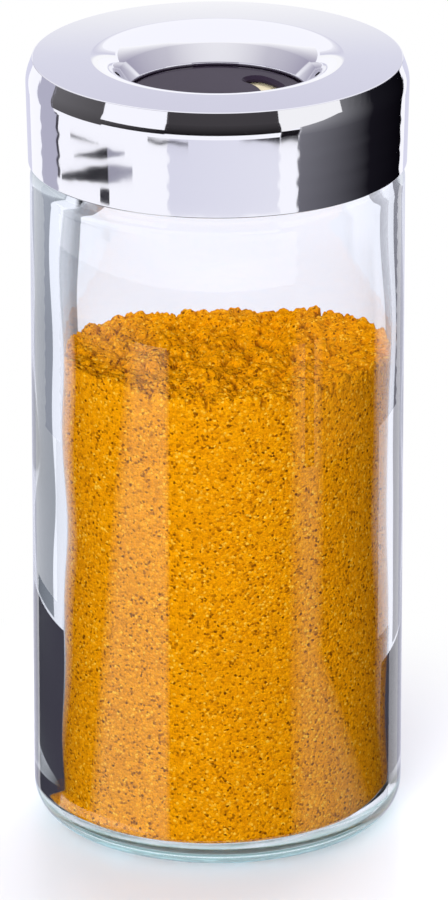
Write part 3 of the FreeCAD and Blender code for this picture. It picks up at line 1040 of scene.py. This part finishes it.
    def build(self) -> bpy.types.Object:
        """Joins the top to the wall and the rounded foot below it.

        The top is a square grid bent into a disc: each coordinate is shortened by the root of one less
        half the square of the other. The wall goes straight down from its edge, and the foot is a quarter
        of an arc that ends on the floor.

        Returns:
            The heap, with the painted shade of its creases as a point attribute.
        """
        way = np.linspace(-1.0, 1.0, self.grid)
        across, deep = np.meshgrid(way, way, indexing="ij")
        reach = self.bore.radius - self.gap
        x = across * np.sqrt(1.0 - deep * deep / 2.0) * reach
        y = deep * np.sqrt(1.0 - across * across / 2.0) * reach
        crumbs = self.crumbs(x, y)
        top = np.stack([x, y, self.mounds(x, y) + crumbs], axis=-1).reshape(-1, 3)
        count = len(top)
        number = np.arange(count).reshape(self.grid, self.grid)
        border = np.concatenate([number[:-1, 0], number[-1, :-1], number[:0:-1, -1], number[0, :0:-1]])
        edge = top[border]
        bearing = np.arctan2(edge[:, 1], edge[:, 0])
        share = np.linspace(0.0, 1.0, self.rows + 1)[1:, None]
        foot = self.floor + self.heel
        turn = np.linspace(0.0, math.pi / 2.0, self.heel_rows + 1)[1:, None]
        columns = len(border)
        radius = np.concatenate([np.full((self.rows, 1), reach), reach - self.heel * (1.0 - np.cos(turn))])
        height = np.concatenate([
            edge[:, 2] + (foot - edge[:, 2]) * share,
            np.broadcast_to(foot - self.heel * np.sin(turn), (self.heel_rows, columns)),
        ])
        rings = np.stack([radius * np.cos(bearing), radius * np.sin(bearing), height], axis=-1)
        middle = np.array([[0.0, 0.0, self.floor]])
        points = self.bore.shift(np.concatenate([top, rings.reshape(-1, 3), middle]))
        ring = np.arange(columns)
        following = np.roll(ring, -1)
        first = np.stack([border[following], border, count + ring, count + following], 1)
        last = count + (len(rings) - 1) * columns
        pole = np.stack([np.full(columns, len(points) - 1), last + following, last + ring], 1)
        flat = grid_faces(self.grid, self.grid, False, False)[:, ::-1]
        wall = grid_faces(len(rings), columns, False, True)[:, ::-1] + count
        heap = build_mesh("spice_heap", points, [flat, first, wall, pole])
        # painted shade for the creases of the top, read by the powder's material
        painted_crease_shade = np.zeros(len(points), dtype=np.float32)
        painted_crease_shade[:count] = self.creases(crumbs).ravel()
        heap.data.attributes.new("painted_crease_shade", "FLOAT", "POINT").data.foreach_set("value", painted_crease_shade)
        return heap

    def dress(self) -> bpy.types.Object:
        """Builds the heap and lets it stand for the plain solid.

        Returns:
            The dressed heap.
        """
        heap = self.build()
        finish(heap, GroundSpice().material(), Rides.JAR, "spice_fill")
        return heap


@dataclass
class ShakerCap:
    """The cap: chromed ring with its funnel, dial plate, ivory collar and sealing ring."""

    draft: float = 0.3 * MM
    wall: float = 1.15 * MM
    top_wall: float = 1.3 * MM
    edge_height: float = 2.5 * MM
    edge_inset: float = 0.9 * MM
    edge_blend: float = 5.0 * MM
    edge_round: float = 0.14 * MM
    crown_width: float = 11.2 * MM
    lip_roll: float = 4.2 * MM
    funnel_width: float = 2.45 * MM
    funnel_wall: float = 1.2 * MM
    throat_land: float = 0.7 * MM
    throat_round: float = 0.5 * MM
    throat_foot: float = 1.6 * MM
    pad_height: float = 0.3 * MM
    running_gap: float = 0.3 * MM
    roof_round: float = 0.48 * MM
    rib_height: float = 1.2 * MM
    rib_radius: float = 23.5 * MM
    flange_depth: float = 3.8 * MM
    soft_edge: float = 0.12 * MM
    segments: int = 320
    step: float = 0.6 * MM
    guard: float = 0.03 * MM

    def __post_init__(self) -> None:
        """Reads the ring, the plate and the collar from their solids."""
        low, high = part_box("chrome_ring")
        self.radius = (high.x - low.x) / 2.0
        self.bottom = low.z
        self.top = high.z
        self.plate_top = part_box("dial_plate")[1].z - self.pad_height
        self.deck_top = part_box("screw_collar")[1].z

    def build_ring(self) -> bpy.types.Object:
        """Turns the ring: skirt, leaning edge, flat crown, funnel, foot, roof and snap rib.

        Returns:
            The ring.
        """
        lip = self.radius - self.crown_width
        throat = lip - self.funnel_width
        skirt = self.radius - self.wall
        roof = self.top - self.top_wall
        rib = self.rib_radius
        rib_top = self.deck_top - self.flange_depth - self.running_gap
        rib_bottom = rib_top - self.rib_height
        soft = self.soft_edge
        outline = rounded_outline([
            Corner(skirt, self.bottom, soft),
            Corner(self.radius - self.draft, self.bottom, soft),
            Corner(self.radius, self.top - self.edge_height, self.edge_blend),
            Corner(self.radius - self.edge_inset, self.top, self.edge_round),
            Corner(lip, self.top, self.lip_roll),
            Corner(throat, self.plate_top + self.throat_land, self.throat_round),
            Corner(throat, self.plate_top, soft),
            Corner(throat + self.throat_foot, self.plate_top, soft),
            Corner(lip + self.funnel_wall, roof, self.roof_round),
            Corner(skirt, roof, self.roof_round),
            Corner(skirt, rib_top, soft),
            Corner(rib, rib_top, soft),
            Corner(rib, rib_bottom, soft),
            Corner(skirt, rib_bottom, soft),
        ], self.step, closed=True, guard=self.guard)
        return lathe_mesh("chromed_ring_shell", turn_outline(outline, self.segments), closed=True)

    def dress(self) -> list[bpy.types.Object]:
        """Builds the ring and gives the plate, the collar and the seal their finishes.

        Returns:
            The pieces of the cap.
        """
        ring = self.build_ring()
        finish(ring, ChromePlate().material(), Rides.DIAL, "chrome_ring")
        pieces = [ring]
        for node, plastic in (("dial_plate", BLACK_GLOSS), ("screw_collar", IVORY), ("rim_gasket", SILICONE)):
            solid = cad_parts[node]
            solid.data.materials.clear()
            solid.data.materials.append(plastic.material())
            pieces.append(solid)
        return pieces


# Studio


@dataclass(frozen=True)
class Card:
    """A curved studio card, seen in reflections and, where said, through the glass.

    Attributes:
        name: the name of the card.
        corners: azimuth in degrees and height in millimetres of its lower start, lower end, upper end and
            upper start.
        tones: sRGB colours of the same four corners, or of all of them if only one is given.
        away: distance from the jar's axis, in millimetres.
        strength: brightness, 1 being paper white.
        reflected: whether reflections show it.
        through_glass: whether it shows through the glass.
        sway: how far its upright edges wave sideways, in degrees.
        rows: rows of points from its lower to its upper edge.
        columns: points from its start to its end.
        sway_waves: weight, rise in millimetres in a radian and phase of each wave of its edges.
    """

    name: str
    corners: tuple[tuple[float, float], ...]
    tones: tuple[str, ...]
    away: float = 150.0
    strength: float = 1.0
    reflected: bool = True
    through_glass: bool = False
    sway: float = 0.0
    rows: int = 25
    columns: int = 25
    sway_waves: tuple[tuple[float, float, float], ...] = ((1.0, 0.46, 0.0), (0.5, 0.27, 1.0))

    def build(self) -> bpy.types.Object:
        """Bends the card round the axis.

        A point of the card at shares u and v has the azimuth and height that blend its four corners, and
        stands on the cylinder of the card's distance. A weighted sum of sines of its height sways the
        azimuth. The shares are kept as its UV.

        Returns:
            The card.
        """
        rising = np.linspace(0.0, 1.0, self.rows)
        sideways = np.linspace(0.0, 1.0, self.columns)
        v, u = (each.ravel() for each in np.meshgrid(rising, sideways, indexing="ij"))
        weights = np.stack([(1.0 - u) * (1.0 - v), u * (1.0 - v), u * v, (1.0 - u) * v], axis=-1)
        azimuth, height = (weights @ np.array(self.corners)).T
        waves = sum(weight * np.sin(height / rise + phase) for weight, rise, phase in self.sway_waves)
        turn = np.radians(azimuth + self.sway * waves)
        points = np.stack([self.away * np.sin(turn), -self.away * np.cos(turn), height], axis=-1) * MM
        card = build_mesh(self.name, points, [grid_faces(self.rows, self.columns, False, False)])
        layer = card.data.uv_layers.new(name="shares")
        index = np.empty(len(card.data.loops), dtype=np.int32)
        card.data.loops.foreach_get("vertex_index", index)
        layer.uv.foreach_set("vector", np.stack([u, v], axis=-1)[index].astype(np.float32).ravel())
        card.data.materials.append(self.material())
        card.visible_camera = False
        card.visible_diffuse = False
        card.visible_shadow = False
        card.visible_glossy = self.reflected
        card.visible_transmission = self.through_glass
        return card

    def material(self) -> bpy.types.Material:
        """Builds plain light that blends between the tones of the card's corners.

        Returns:
            The finished material.
        """
        material, tree = new_material(self.name)
        tones = [linear(tone) for tone in (self.tones * 4 if len(self.tones) == 1 else self.tones)]
        place = add_node(tree, "ShaderNodeUVMap", uv_map="shares")
        split = add_node(tree, "ShaderNodeSeparateXYZ", {0: place.outputs[0]})
        low = add_node(tree, "ShaderNodeMix", {
            "Factor": split.outputs["X"], "A": tones[0], "B": tones[1],
        }, data_type="RGBA")
        high = add_node(tree, "ShaderNodeMix", {
            "Factor": split.outputs["X"], "A": tones[3], "B": tones[2],
        }, data_type="RGBA")
        blend = add_node(tree, "ShaderNodeMix", {
            "Factor": split.outputs["Y"], "A": low.outputs["Result"], "B": high.outputs["Result"],
        }, data_type="RGBA")
        light = add_node(tree, "ShaderNodeEmission", {
            "Color": blend.outputs["Result"], "Strength": self.strength,
        })
        add_node(tree, "ShaderNodeOutputMaterial", {"Surface": light.outputs[0]})
        return material


def upright(start: float, end: float, low: float, high: float) -> tuple[tuple[float, float], ...]:
    """The corners of a card with upright ends and level edges."""
    return (start, low), (end, low), (end, high), (start, high)


def upward(low: str, high: str) -> tuple[str, ...]:
    """The corner tones of a card that changes from its lower to its upper edge."""
    return low, low, high, high


def onward(start: str, end: str) -> tuple[str, ...]:
    """The corner tones of a card that changes from its start to its end."""
    return start, end, end, start


BAR = ("1d1c22",)
BAR_END = ("9d9cab",)
STREAK = ("18161b",)
CANOPY = upward("8f8aa2", WHITE)
FADE_IN = onward(NEAR_BLACK, WHITE)
FADE_OUT = onward(WHITE, NEAR_BLACK)
IN_GLASS: dict[str, bool] = {"reflected": False, "through_glass": True}

CARDS = (
    # what the upright wall of the chromed ring shows, from left to right
    Card("rear_low", upright(146.0, 214.0, -190.0, 110.0), ("dedef0",)),
    Card("left_strip", upright(-125.5, -106.3, 8.0, 118.0), ("b9b8ca",), sway=0.8, rows=241),
    Card("left_line", upright(-106.3, -103.8, 46.0, 64.0), ("45434c",), sway=0.8, rows=61),
    Card("left_bar_low", ((-102.0, 45.9), (-64.3, 47.7), (-64.3, 50.4), (-102.0, 46.9)), BAR),
    Card("left_bar_low_end", ((-64.3, 47.7), (-48.5, 49.0), (-48.5, 50.6), (-64.3, 50.4)), BAR_END),
    Card("left_bar_high", ((-90.2, 50.3), (-64.7, 51.3), (-64.7, 53.1), (-90.2, 50.5)), BAR),
    Card("left_bar_high_end", ((-64.7, 51.3), (-53.0, 52.5), (-53.0, 52.8), (-64.7, 53.1)), BAR_END),
    Card("left_sliver", ((-92.7, 53.1), (-70.3, 53.4), (-70.3, 53.5), (-92.7, 53.7)), ("3a383f",)),
    Card("left_blob", upright(-70.3, -63.8, 44.3, 46.4), ("2a2930",)),
    Card("front_panel", upright(-27.3, 34.6, 44.0, 59.0), onward("e4e4f2", "eeeef9"), sway=0.8, rows=61),
    Card("panel_streak_left", ((-39.0, 55.5), (-16.0, 54.9), (-16.0, 55.5), (-39.0, 56.3)), STREAK, 149.0),
    Card("panel_streak_right", ((11.8, 56.5), (34.6, 55.2), (34.6, 62.0), (11.8, 56.9)), STREAK, 149.0),
    Card("right_flag_near", ((45.7, 10.0), (97.7, 10.0), (97.7, 130.0), (45.7, 156.0)),
         ("4b4956", "141219", "1b1a20", "b4b4b8"), sway=0.8, rows=361),
    Card("right_flag_far", ((97.7, 10.0), (137.2, 10.0), (137.2, 112.0), (97.7, 130.0)),
         ("141219", "060509", "060509", "1b1a20"), sway=0.8, rows=361),
    # what its leaning edge shows: dark cards with white between them, and a white wedge
    Card("room_middle", upright(-28.5, 34.6, 86.0, 170.0), upward("151316", "4a474a")),
    Card("room_left", upright(-67.0, -28.5, 82.0, 110.0), ("3a383a", "151316", "2a282b", "5a585a")),
    Card("room_far_left", ((-108.0, 74.0), (-67.0, 76.0), (-67.0, 150.0), (-108.0, 118.0)),
         ("5f5d5f", "4a484a", "5a585a", "6f6d70")),
    Card("room_right", upright(34.6, 45.7, 55.0, 92.0), ("1c1a1e",)),
    Card("edge_wedge", ((34.6, 92.0), (74.0, 134.0), (74.0, 164.0), (34.6, 164.0)), (WHITE,), 146.0),
    # what its flat top shows
    Card("rear_wall", upright(150.0, 210.0, 240.0, 285.0), (WHITE,), 600.0, 1.05),
    Card("rear_wall_upper", upright(150.0, 210.0, 285.0, 296.0), upward(WHITE, "e2e2f0"), 600.0),
    Card("rear_wall_grey", upright(150.0, 210.0, 296.0, 308.0), upward("e2e2f0", "dbdae9"), 600.0),
    Card("rear_wall_top", upright(150.0, 210.0, 308.0, 360.0), upward("dbdae9", "fafaff"), 600.0),
    # what its funnel shows
    Card("canopy_front", upright(-70.0, 70.0, 158.0, 258.0), CANOPY, 152.0, 1.1),
    Card("canopy_left", ((-150.0, 105.0), (-70.0, 158.0), (-70.0, 258.0), (-150.0, 198.0)),
         CANOPY, 152.0, 1.1),
    Card("canopy_right", ((70.0, 158.0), (150.0, 105.0), (150.0, 198.0), (70.0, 258.0)),
         CANOPY, 152.0, 1.1),
    # what the front of the glass shows over the powder: two softboxes with soft ends in the dark
    Card("front_dark", upright(-112.0, 112.0, -190.0, 36.0), (NEAR_BLACK,), 160.0),
    Card("left_low", upright(-142.0, -112.0, -60.0, -22.0), (NEAR_BLACK,), 160.0),
    Card("right_low", upright(112.0, 128.0, -60.0, -28.0), (NEAR_BLACK,), 160.0),
    Card("left_softbox", ((-82.0, -60.0), (-29.0, -60.0), (-29.0, 30.0), (-48.0, 30.0)),
         (WHITE,), strength=1.1),
    Card("right_softbox", ((49.0, -60.0), (112.0, -60.0), (60.0, -20.0), (47.0, -20.0)),
         (WHITE,), strength=0.7),
    Card("right_softbox_top", upright(47.0, 60.0, -20.0, 30.0), (WHITE,), strength=0.7),
    Card("left_softbox_start", ((-87.0, -60.0), (-78.0, -60.0), (-44.0, 30.0), (-53.0, 30.0)),
         FADE_IN, 149.0, 1.1),
    Card("left_softbox_end", upright(-30.5, -27.0, -60.0, 30.0), FADE_OUT, 149.0, 1.1),
    Card("right_softbox_start", ((43.0, -60.0), (53.0, -60.0), (51.0, -20.0), (41.0, -20.0)),
         FADE_IN, 149.0, 0.7),
    Card("right_softbox_start_top", upright(41.0, 51.0, -20.0, 30.0), FADE_IN, 149.0, 0.7),
    Card("right_softbox_end", ((100.0, -60.0), (120.0, -60.0), (64.0, -20.0), (57.0, -20.0)),
         FADE_OUT, 149.0, 0.7),
    Card("right_softbox_end_top", upright(57.0, 64.0, -20.0, 30.0), FADE_OUT, 149.0, 0.7),
    # dark stands and grey poles beside the jar that its thick glass edges pick up
    Card("left_stand", upright(-136.0, -88.0, 0.4, 24.0), ("3b3745",), 33.0, **IN_GLASS),
    Card("right_stand", upright(88.0, 136.0, 0.4, 19.0), ("3b3745",), 33.0, **IN_GLASS),
    Card("left_pole", upright(-128.0, -100.0, 24.0, 92.0), ("8d929e",), 34.0, **IN_GLASS),
    Card("right_pole", upright(104.0, 124.0, 19.0, 92.0), ("85838f",), 34.0, **IN_GLASS),
)


@dataclass(frozen=True)
class SoftLamp:
    """A square softbox that faces the jar and stays out of reflections.

    Attributes:
        name: the lamp's name.
        place: where it hangs.
        size: its width.
        watts: its power.
        aim_height: height on the jar's axis that it faces.
    """

    name: str
    place: tuple[float, float, float]
    size: float
    watts: float
    aim_height: float = 0.05

    def hang(self) -> None:
        """Hangs the lamp and turns it to the jar."""
        data = bpy.data.lights.new(self.name, "AREA")
        data.size = self.size
        data.energy = self.watts
        lamp = bpy.data.objects.new(self.name, data)
        lamp.location = self.place
        aim = Vector((0.0, 0.0, self.aim_height)) - lamp.location
        lamp.rotation_euler = aim.to_track_quat("-Z", "Y").to_euler()
        lamp.visible_glossy = False
        lamp.visible_transmission = False
        lamp.visible_camera = False
        bpy.context.scene.collection.objects.link(lamp)


LAMPS = (
    SoftLamp("key_softbox", (-0.25, -0.75, 0.45), 0.4, 9.2),
    SoftLamp("back_softbox", (0.1, 0.45, 0.75), 0.5, 6.0),
)


@dataclass
class Studio:
    """White sweep, soft lamps, reflection cards and the camera.

    Attributes:
        world_level: brightness of the surroundings as a lamp.
        mirror_hex: their tone in metal.
        mirror_level: their brightness in metal.
        behind_hex: their tone through the glass.
        behind_level: their brightness through the glass.
        ground_reach: half the width of the ground.
        paper_and_painted_shadow_hex: tone of the ground's paper, a grey that, fading to plain white further
            out, also paints a soft shadow round the jar.
        ground_roughness: its roughness.
        ground_shine: level of its mirror reflection.
        fade_start: distance from the jar at which the ground starts to turn plain white.
        fade_end: distance at which it is plain white.
        dark_slope: how far the dark front sector of the ground, seen through the glass, leans back.
        dark_blend: half the width of that sector's soft edge.
        dark_start: distance from the jar at which it starts.
        dark_fade: distance at which it starts to fade.
        dark_end: distance at which it ends.
        camera_distance: distance of the camera in front of the jar.
        camera_height: its height.
        camera_pitch: how far it looks down, in degrees.
        camera_reach: how far it sees.
        film_width: width of its film in millimetres.
        focal_px: its focal length in the photograph's pixels.
        axis_px: where the jar's axis stands in the photograph, in pixels from the left.
    """

    world_level: float = 0.62
    mirror_hex: str = "fafaff"
    mirror_level: float = 1.1
    behind_hex: str = "f2f3ff"
    behind_level: float = 1.15
    ground_reach: float = 1.6
    # a grey paper that, fading to plain white further out, paints part of the soft shadow round the jar
    paper_and_painted_shadow_hex: str = "dcdce2"
    ground_roughness: float = 0.25
    ground_shine: float = 0.25
    fade_start: float = 0.034
    fade_end: float = 0.075
    dark_slope: float = 0.4
    dark_blend: float = 0.012
    dark_start: float = 0.027
    dark_fade: float = 0.235
    dark_end: float = 0.300
    camera_distance: float = 1.100
    camera_height: float = 0.4537
    camera_pitch: float = 20.09
    camera_reach: float = 10.0
    film_width: float = 36.0
    focal_px: float = 8690.0
    axis_px: float = 217.2

    def world(self) -> None:
        """White all round: full white to the eye, in metal and through glass, softer as a lamp."""
        world = bpy.data.worlds.new("white_tent")
        bpy.context.scene.world = world
        world.use_nodes = True
        tree = world.node_tree
        tree.nodes.clear()
        path = add_node(tree, "ShaderNodeLightPath")
        shown = add_node(tree, "ShaderNodeBackground", {
            "Color": linear(WHITE), "Strength": self.world_level,
        })
        for ray, tone, strength in (
            ("Is Camera Ray", WHITE, 1.0),
            ("Is Transmission Ray", self.behind_hex, self.behind_level),
            ("Is Glossy Ray", self.mirror_hex, self.mirror_level),
        ):
            seen = add_node(tree, "ShaderNodeBackground", {"Color": linear(tone), "Strength": strength})
            shown = add_node(tree, "ShaderNodeMixShader", {
                0: path.outputs[ray], 1: shown.outputs[0], 2: seen.outputs[0],
            })
        add_node(tree, "ShaderNodeOutputWorld", {"Surface": shown.outputs[0]})

    def ground_material(self) -> bpy.types.Material:
        """Builds the paper of the ground.

        To the eye it keeps the shadow near the jar, where its grey paper also paints a soft shadow, and turns
        into plain white further out. Through the glass it is plain light: dark in a sector in front of the
        jar, which keeps the powder clear, and white elsewhere.

        Returns:
            The finished material.
        """
        material, tree = new_material("white_sweep")
        place = add_node(tree, "ShaderNodeTexCoord").outputs["Object"]
        away = add_node(tree, "ShaderNodeVectorMath", {0: place}, operation="LENGTH").outputs["Value"]
        fade = add_node(tree, "ShaderNodeMapRange", {
            "Value": away, "From Min": self.fade_start, "From Max": self.fade_end,
        }, interpolation_type="SMOOTHSTEP")
        paper = add_node(tree, "ShaderNodeBsdfPrincipled", {
            "Base Color": linear(self.paper_and_painted_shadow_hex), "Roughness": self.ground_roughness,
            "Specular IOR Level": self.ground_shine,
        })
        path = add_node(tree, "ShaderNodeLightPath")
        eye = add_node(tree, "ShaderNodeMath", {
            0: fade.outputs[0], 1: path.outputs["Is Camera Ray"],
        }, operation="MULTIPLY")
        far = add_node(tree, "ShaderNodeMath", {
            0: eye.outputs[0], 1: path.outputs["Is Transmission Ray"],
        }, operation="MAXIMUM")
        white = add_node(tree, "ShaderNodeEmission", {"Color": linear(WHITE), "Strength": 1.0})
        split = add_node(tree, "ShaderNodeSeparateXYZ", {0: place})
        across = add_node(tree, "ShaderNodeMath", {0: split.outputs["X"]}, operation="ABSOLUTE")
        sideways = add_node(tree, "ShaderNodeMath", {
            0: across.outputs[0], 1: -self.dark_slope, 2: split.outputs["Y"],
        }, operation="MULTIPLY_ADD")
        front = add_node(tree, "ShaderNodeMapRange", {
            "Value": sideways.outputs[0], "From Min": self.dark_blend, "From Max": -self.dark_blend,
        })
        outside = add_node(tree, "ShaderNodeMath", {0: away, 1: self.dark_start}, operation="GREATER_THAN")
        near = add_node(tree, "ShaderNodeMapRange", {
            "Value": away, "From Min": self.dark_end, "From Max": self.dark_fade,
        }, interpolation_type="SMOOTHSTEP")
        beside = add_node(tree, "ShaderNodeMath", {
            0: outside.outputs[0], 1: near.outputs[0],
        }, operation="MULTIPLY")
        within = add_node(tree, "ShaderNodeMath", {
            0: front.outputs[0], 1: beside.outputs[0],
        }, operation="MULTIPLY")
        shown = add_node(tree, "ShaderNodeMix", {
            "Factor": within.outputs[0], "A": linear(self.behind_hex), "B": linear(NEAR_BLACK),
        }, data_type="RGBA")
        behind = add_node(tree, "ShaderNodeEmission", {
            "Color": shown.outputs["Result"], "Strength": self.behind_level,
        })
        plain = add_node(tree, "ShaderNodeMixShader", {
            0: path.outputs["Is Transmission Ray"], 1: white.outputs[0], 2: behind.outputs[0],
        })
        mixed = add_node(tree, "ShaderNodeMixShader", {
            0: far.outputs[0], 1: paper.outputs[0], 2: plain.outputs[0],
        })
        add_node(tree, "ShaderNodeOutputMaterial", {"Surface": mixed.outputs[0]})
        return material

    def ground(self) -> None:
        """Lays a wide white ground that reflections leave out."""
        side = self.ground_reach
        corners = np.array([[-side, -side, 0.0], [side, -side, 0.0], [side, side, 0.0], [-side, side, 0.0]])
        ground = build_mesh("ground", corners, [np.array([[0, 1, 2, 3]])])
        ground.data.materials.append(self.ground_material())
        ground.visible_glossy = False

    def camera(self) -> None:
        """Sets the camera that was fitted to the photograph's outlines: a long lens from above, unshifted."""
        data = bpy.data.cameras.new("camera")
        data.sensor_width = self.film_width
        data.lens = self.focal_px * self.film_width / IMAGE_HEIGHT_PX
        data.clip_end = self.camera_reach
        camera = bpy.data.objects.new("camera", data)
        sideways = (IMAGE_WIDTH_PX / 2.0 - self.axis_px) / self.focal_px * self.camera_distance
        camera.location = (sideways, -self.camera_distance, self.camera_height)
        camera.rotation_euler = (math.radians(90.0 - self.camera_pitch), 0.0, 0.0)
        bpy.context.scene.collection.objects.link(camera)
        bpy.context.scene.camera = camera

    def build(self) -> None:
        """Builds the whole studio."""
        self.world()
        self.ground()
        for card in CARDS:
            card.build()
        for lamp in LAMPS:
            lamp.hang()
        self.camera()
        bpy.context.scene.view_settings.view_transform = "Standard"


def clear_defaults() -> None:
    """Removes the start-up cube, lamp and camera."""
    for name in ("Cube", "Light", "Camera"):
        leftover = bpy.data.objects.get(name)
        if leftover is not None:
            bpy.data.objects.remove(leftover)


def main() -> None:
    """Builds the jar, the powder, the cap and the studio, and logs the faces of each piece."""
    logging.basicConfig(level=logging.INFO)
    clear_defaults()
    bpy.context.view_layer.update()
    jar = GlassJar()
    pieces = [jar.dress(), SpiceHeap(jar.bore).dress(), *ShakerCap().dress()]
    for piece in pieces:
        LOG.info("%s: %d faces", piece.name, len(piece.data.polygons))
    Studio().build()


if __name__ == "__main__":
    main()
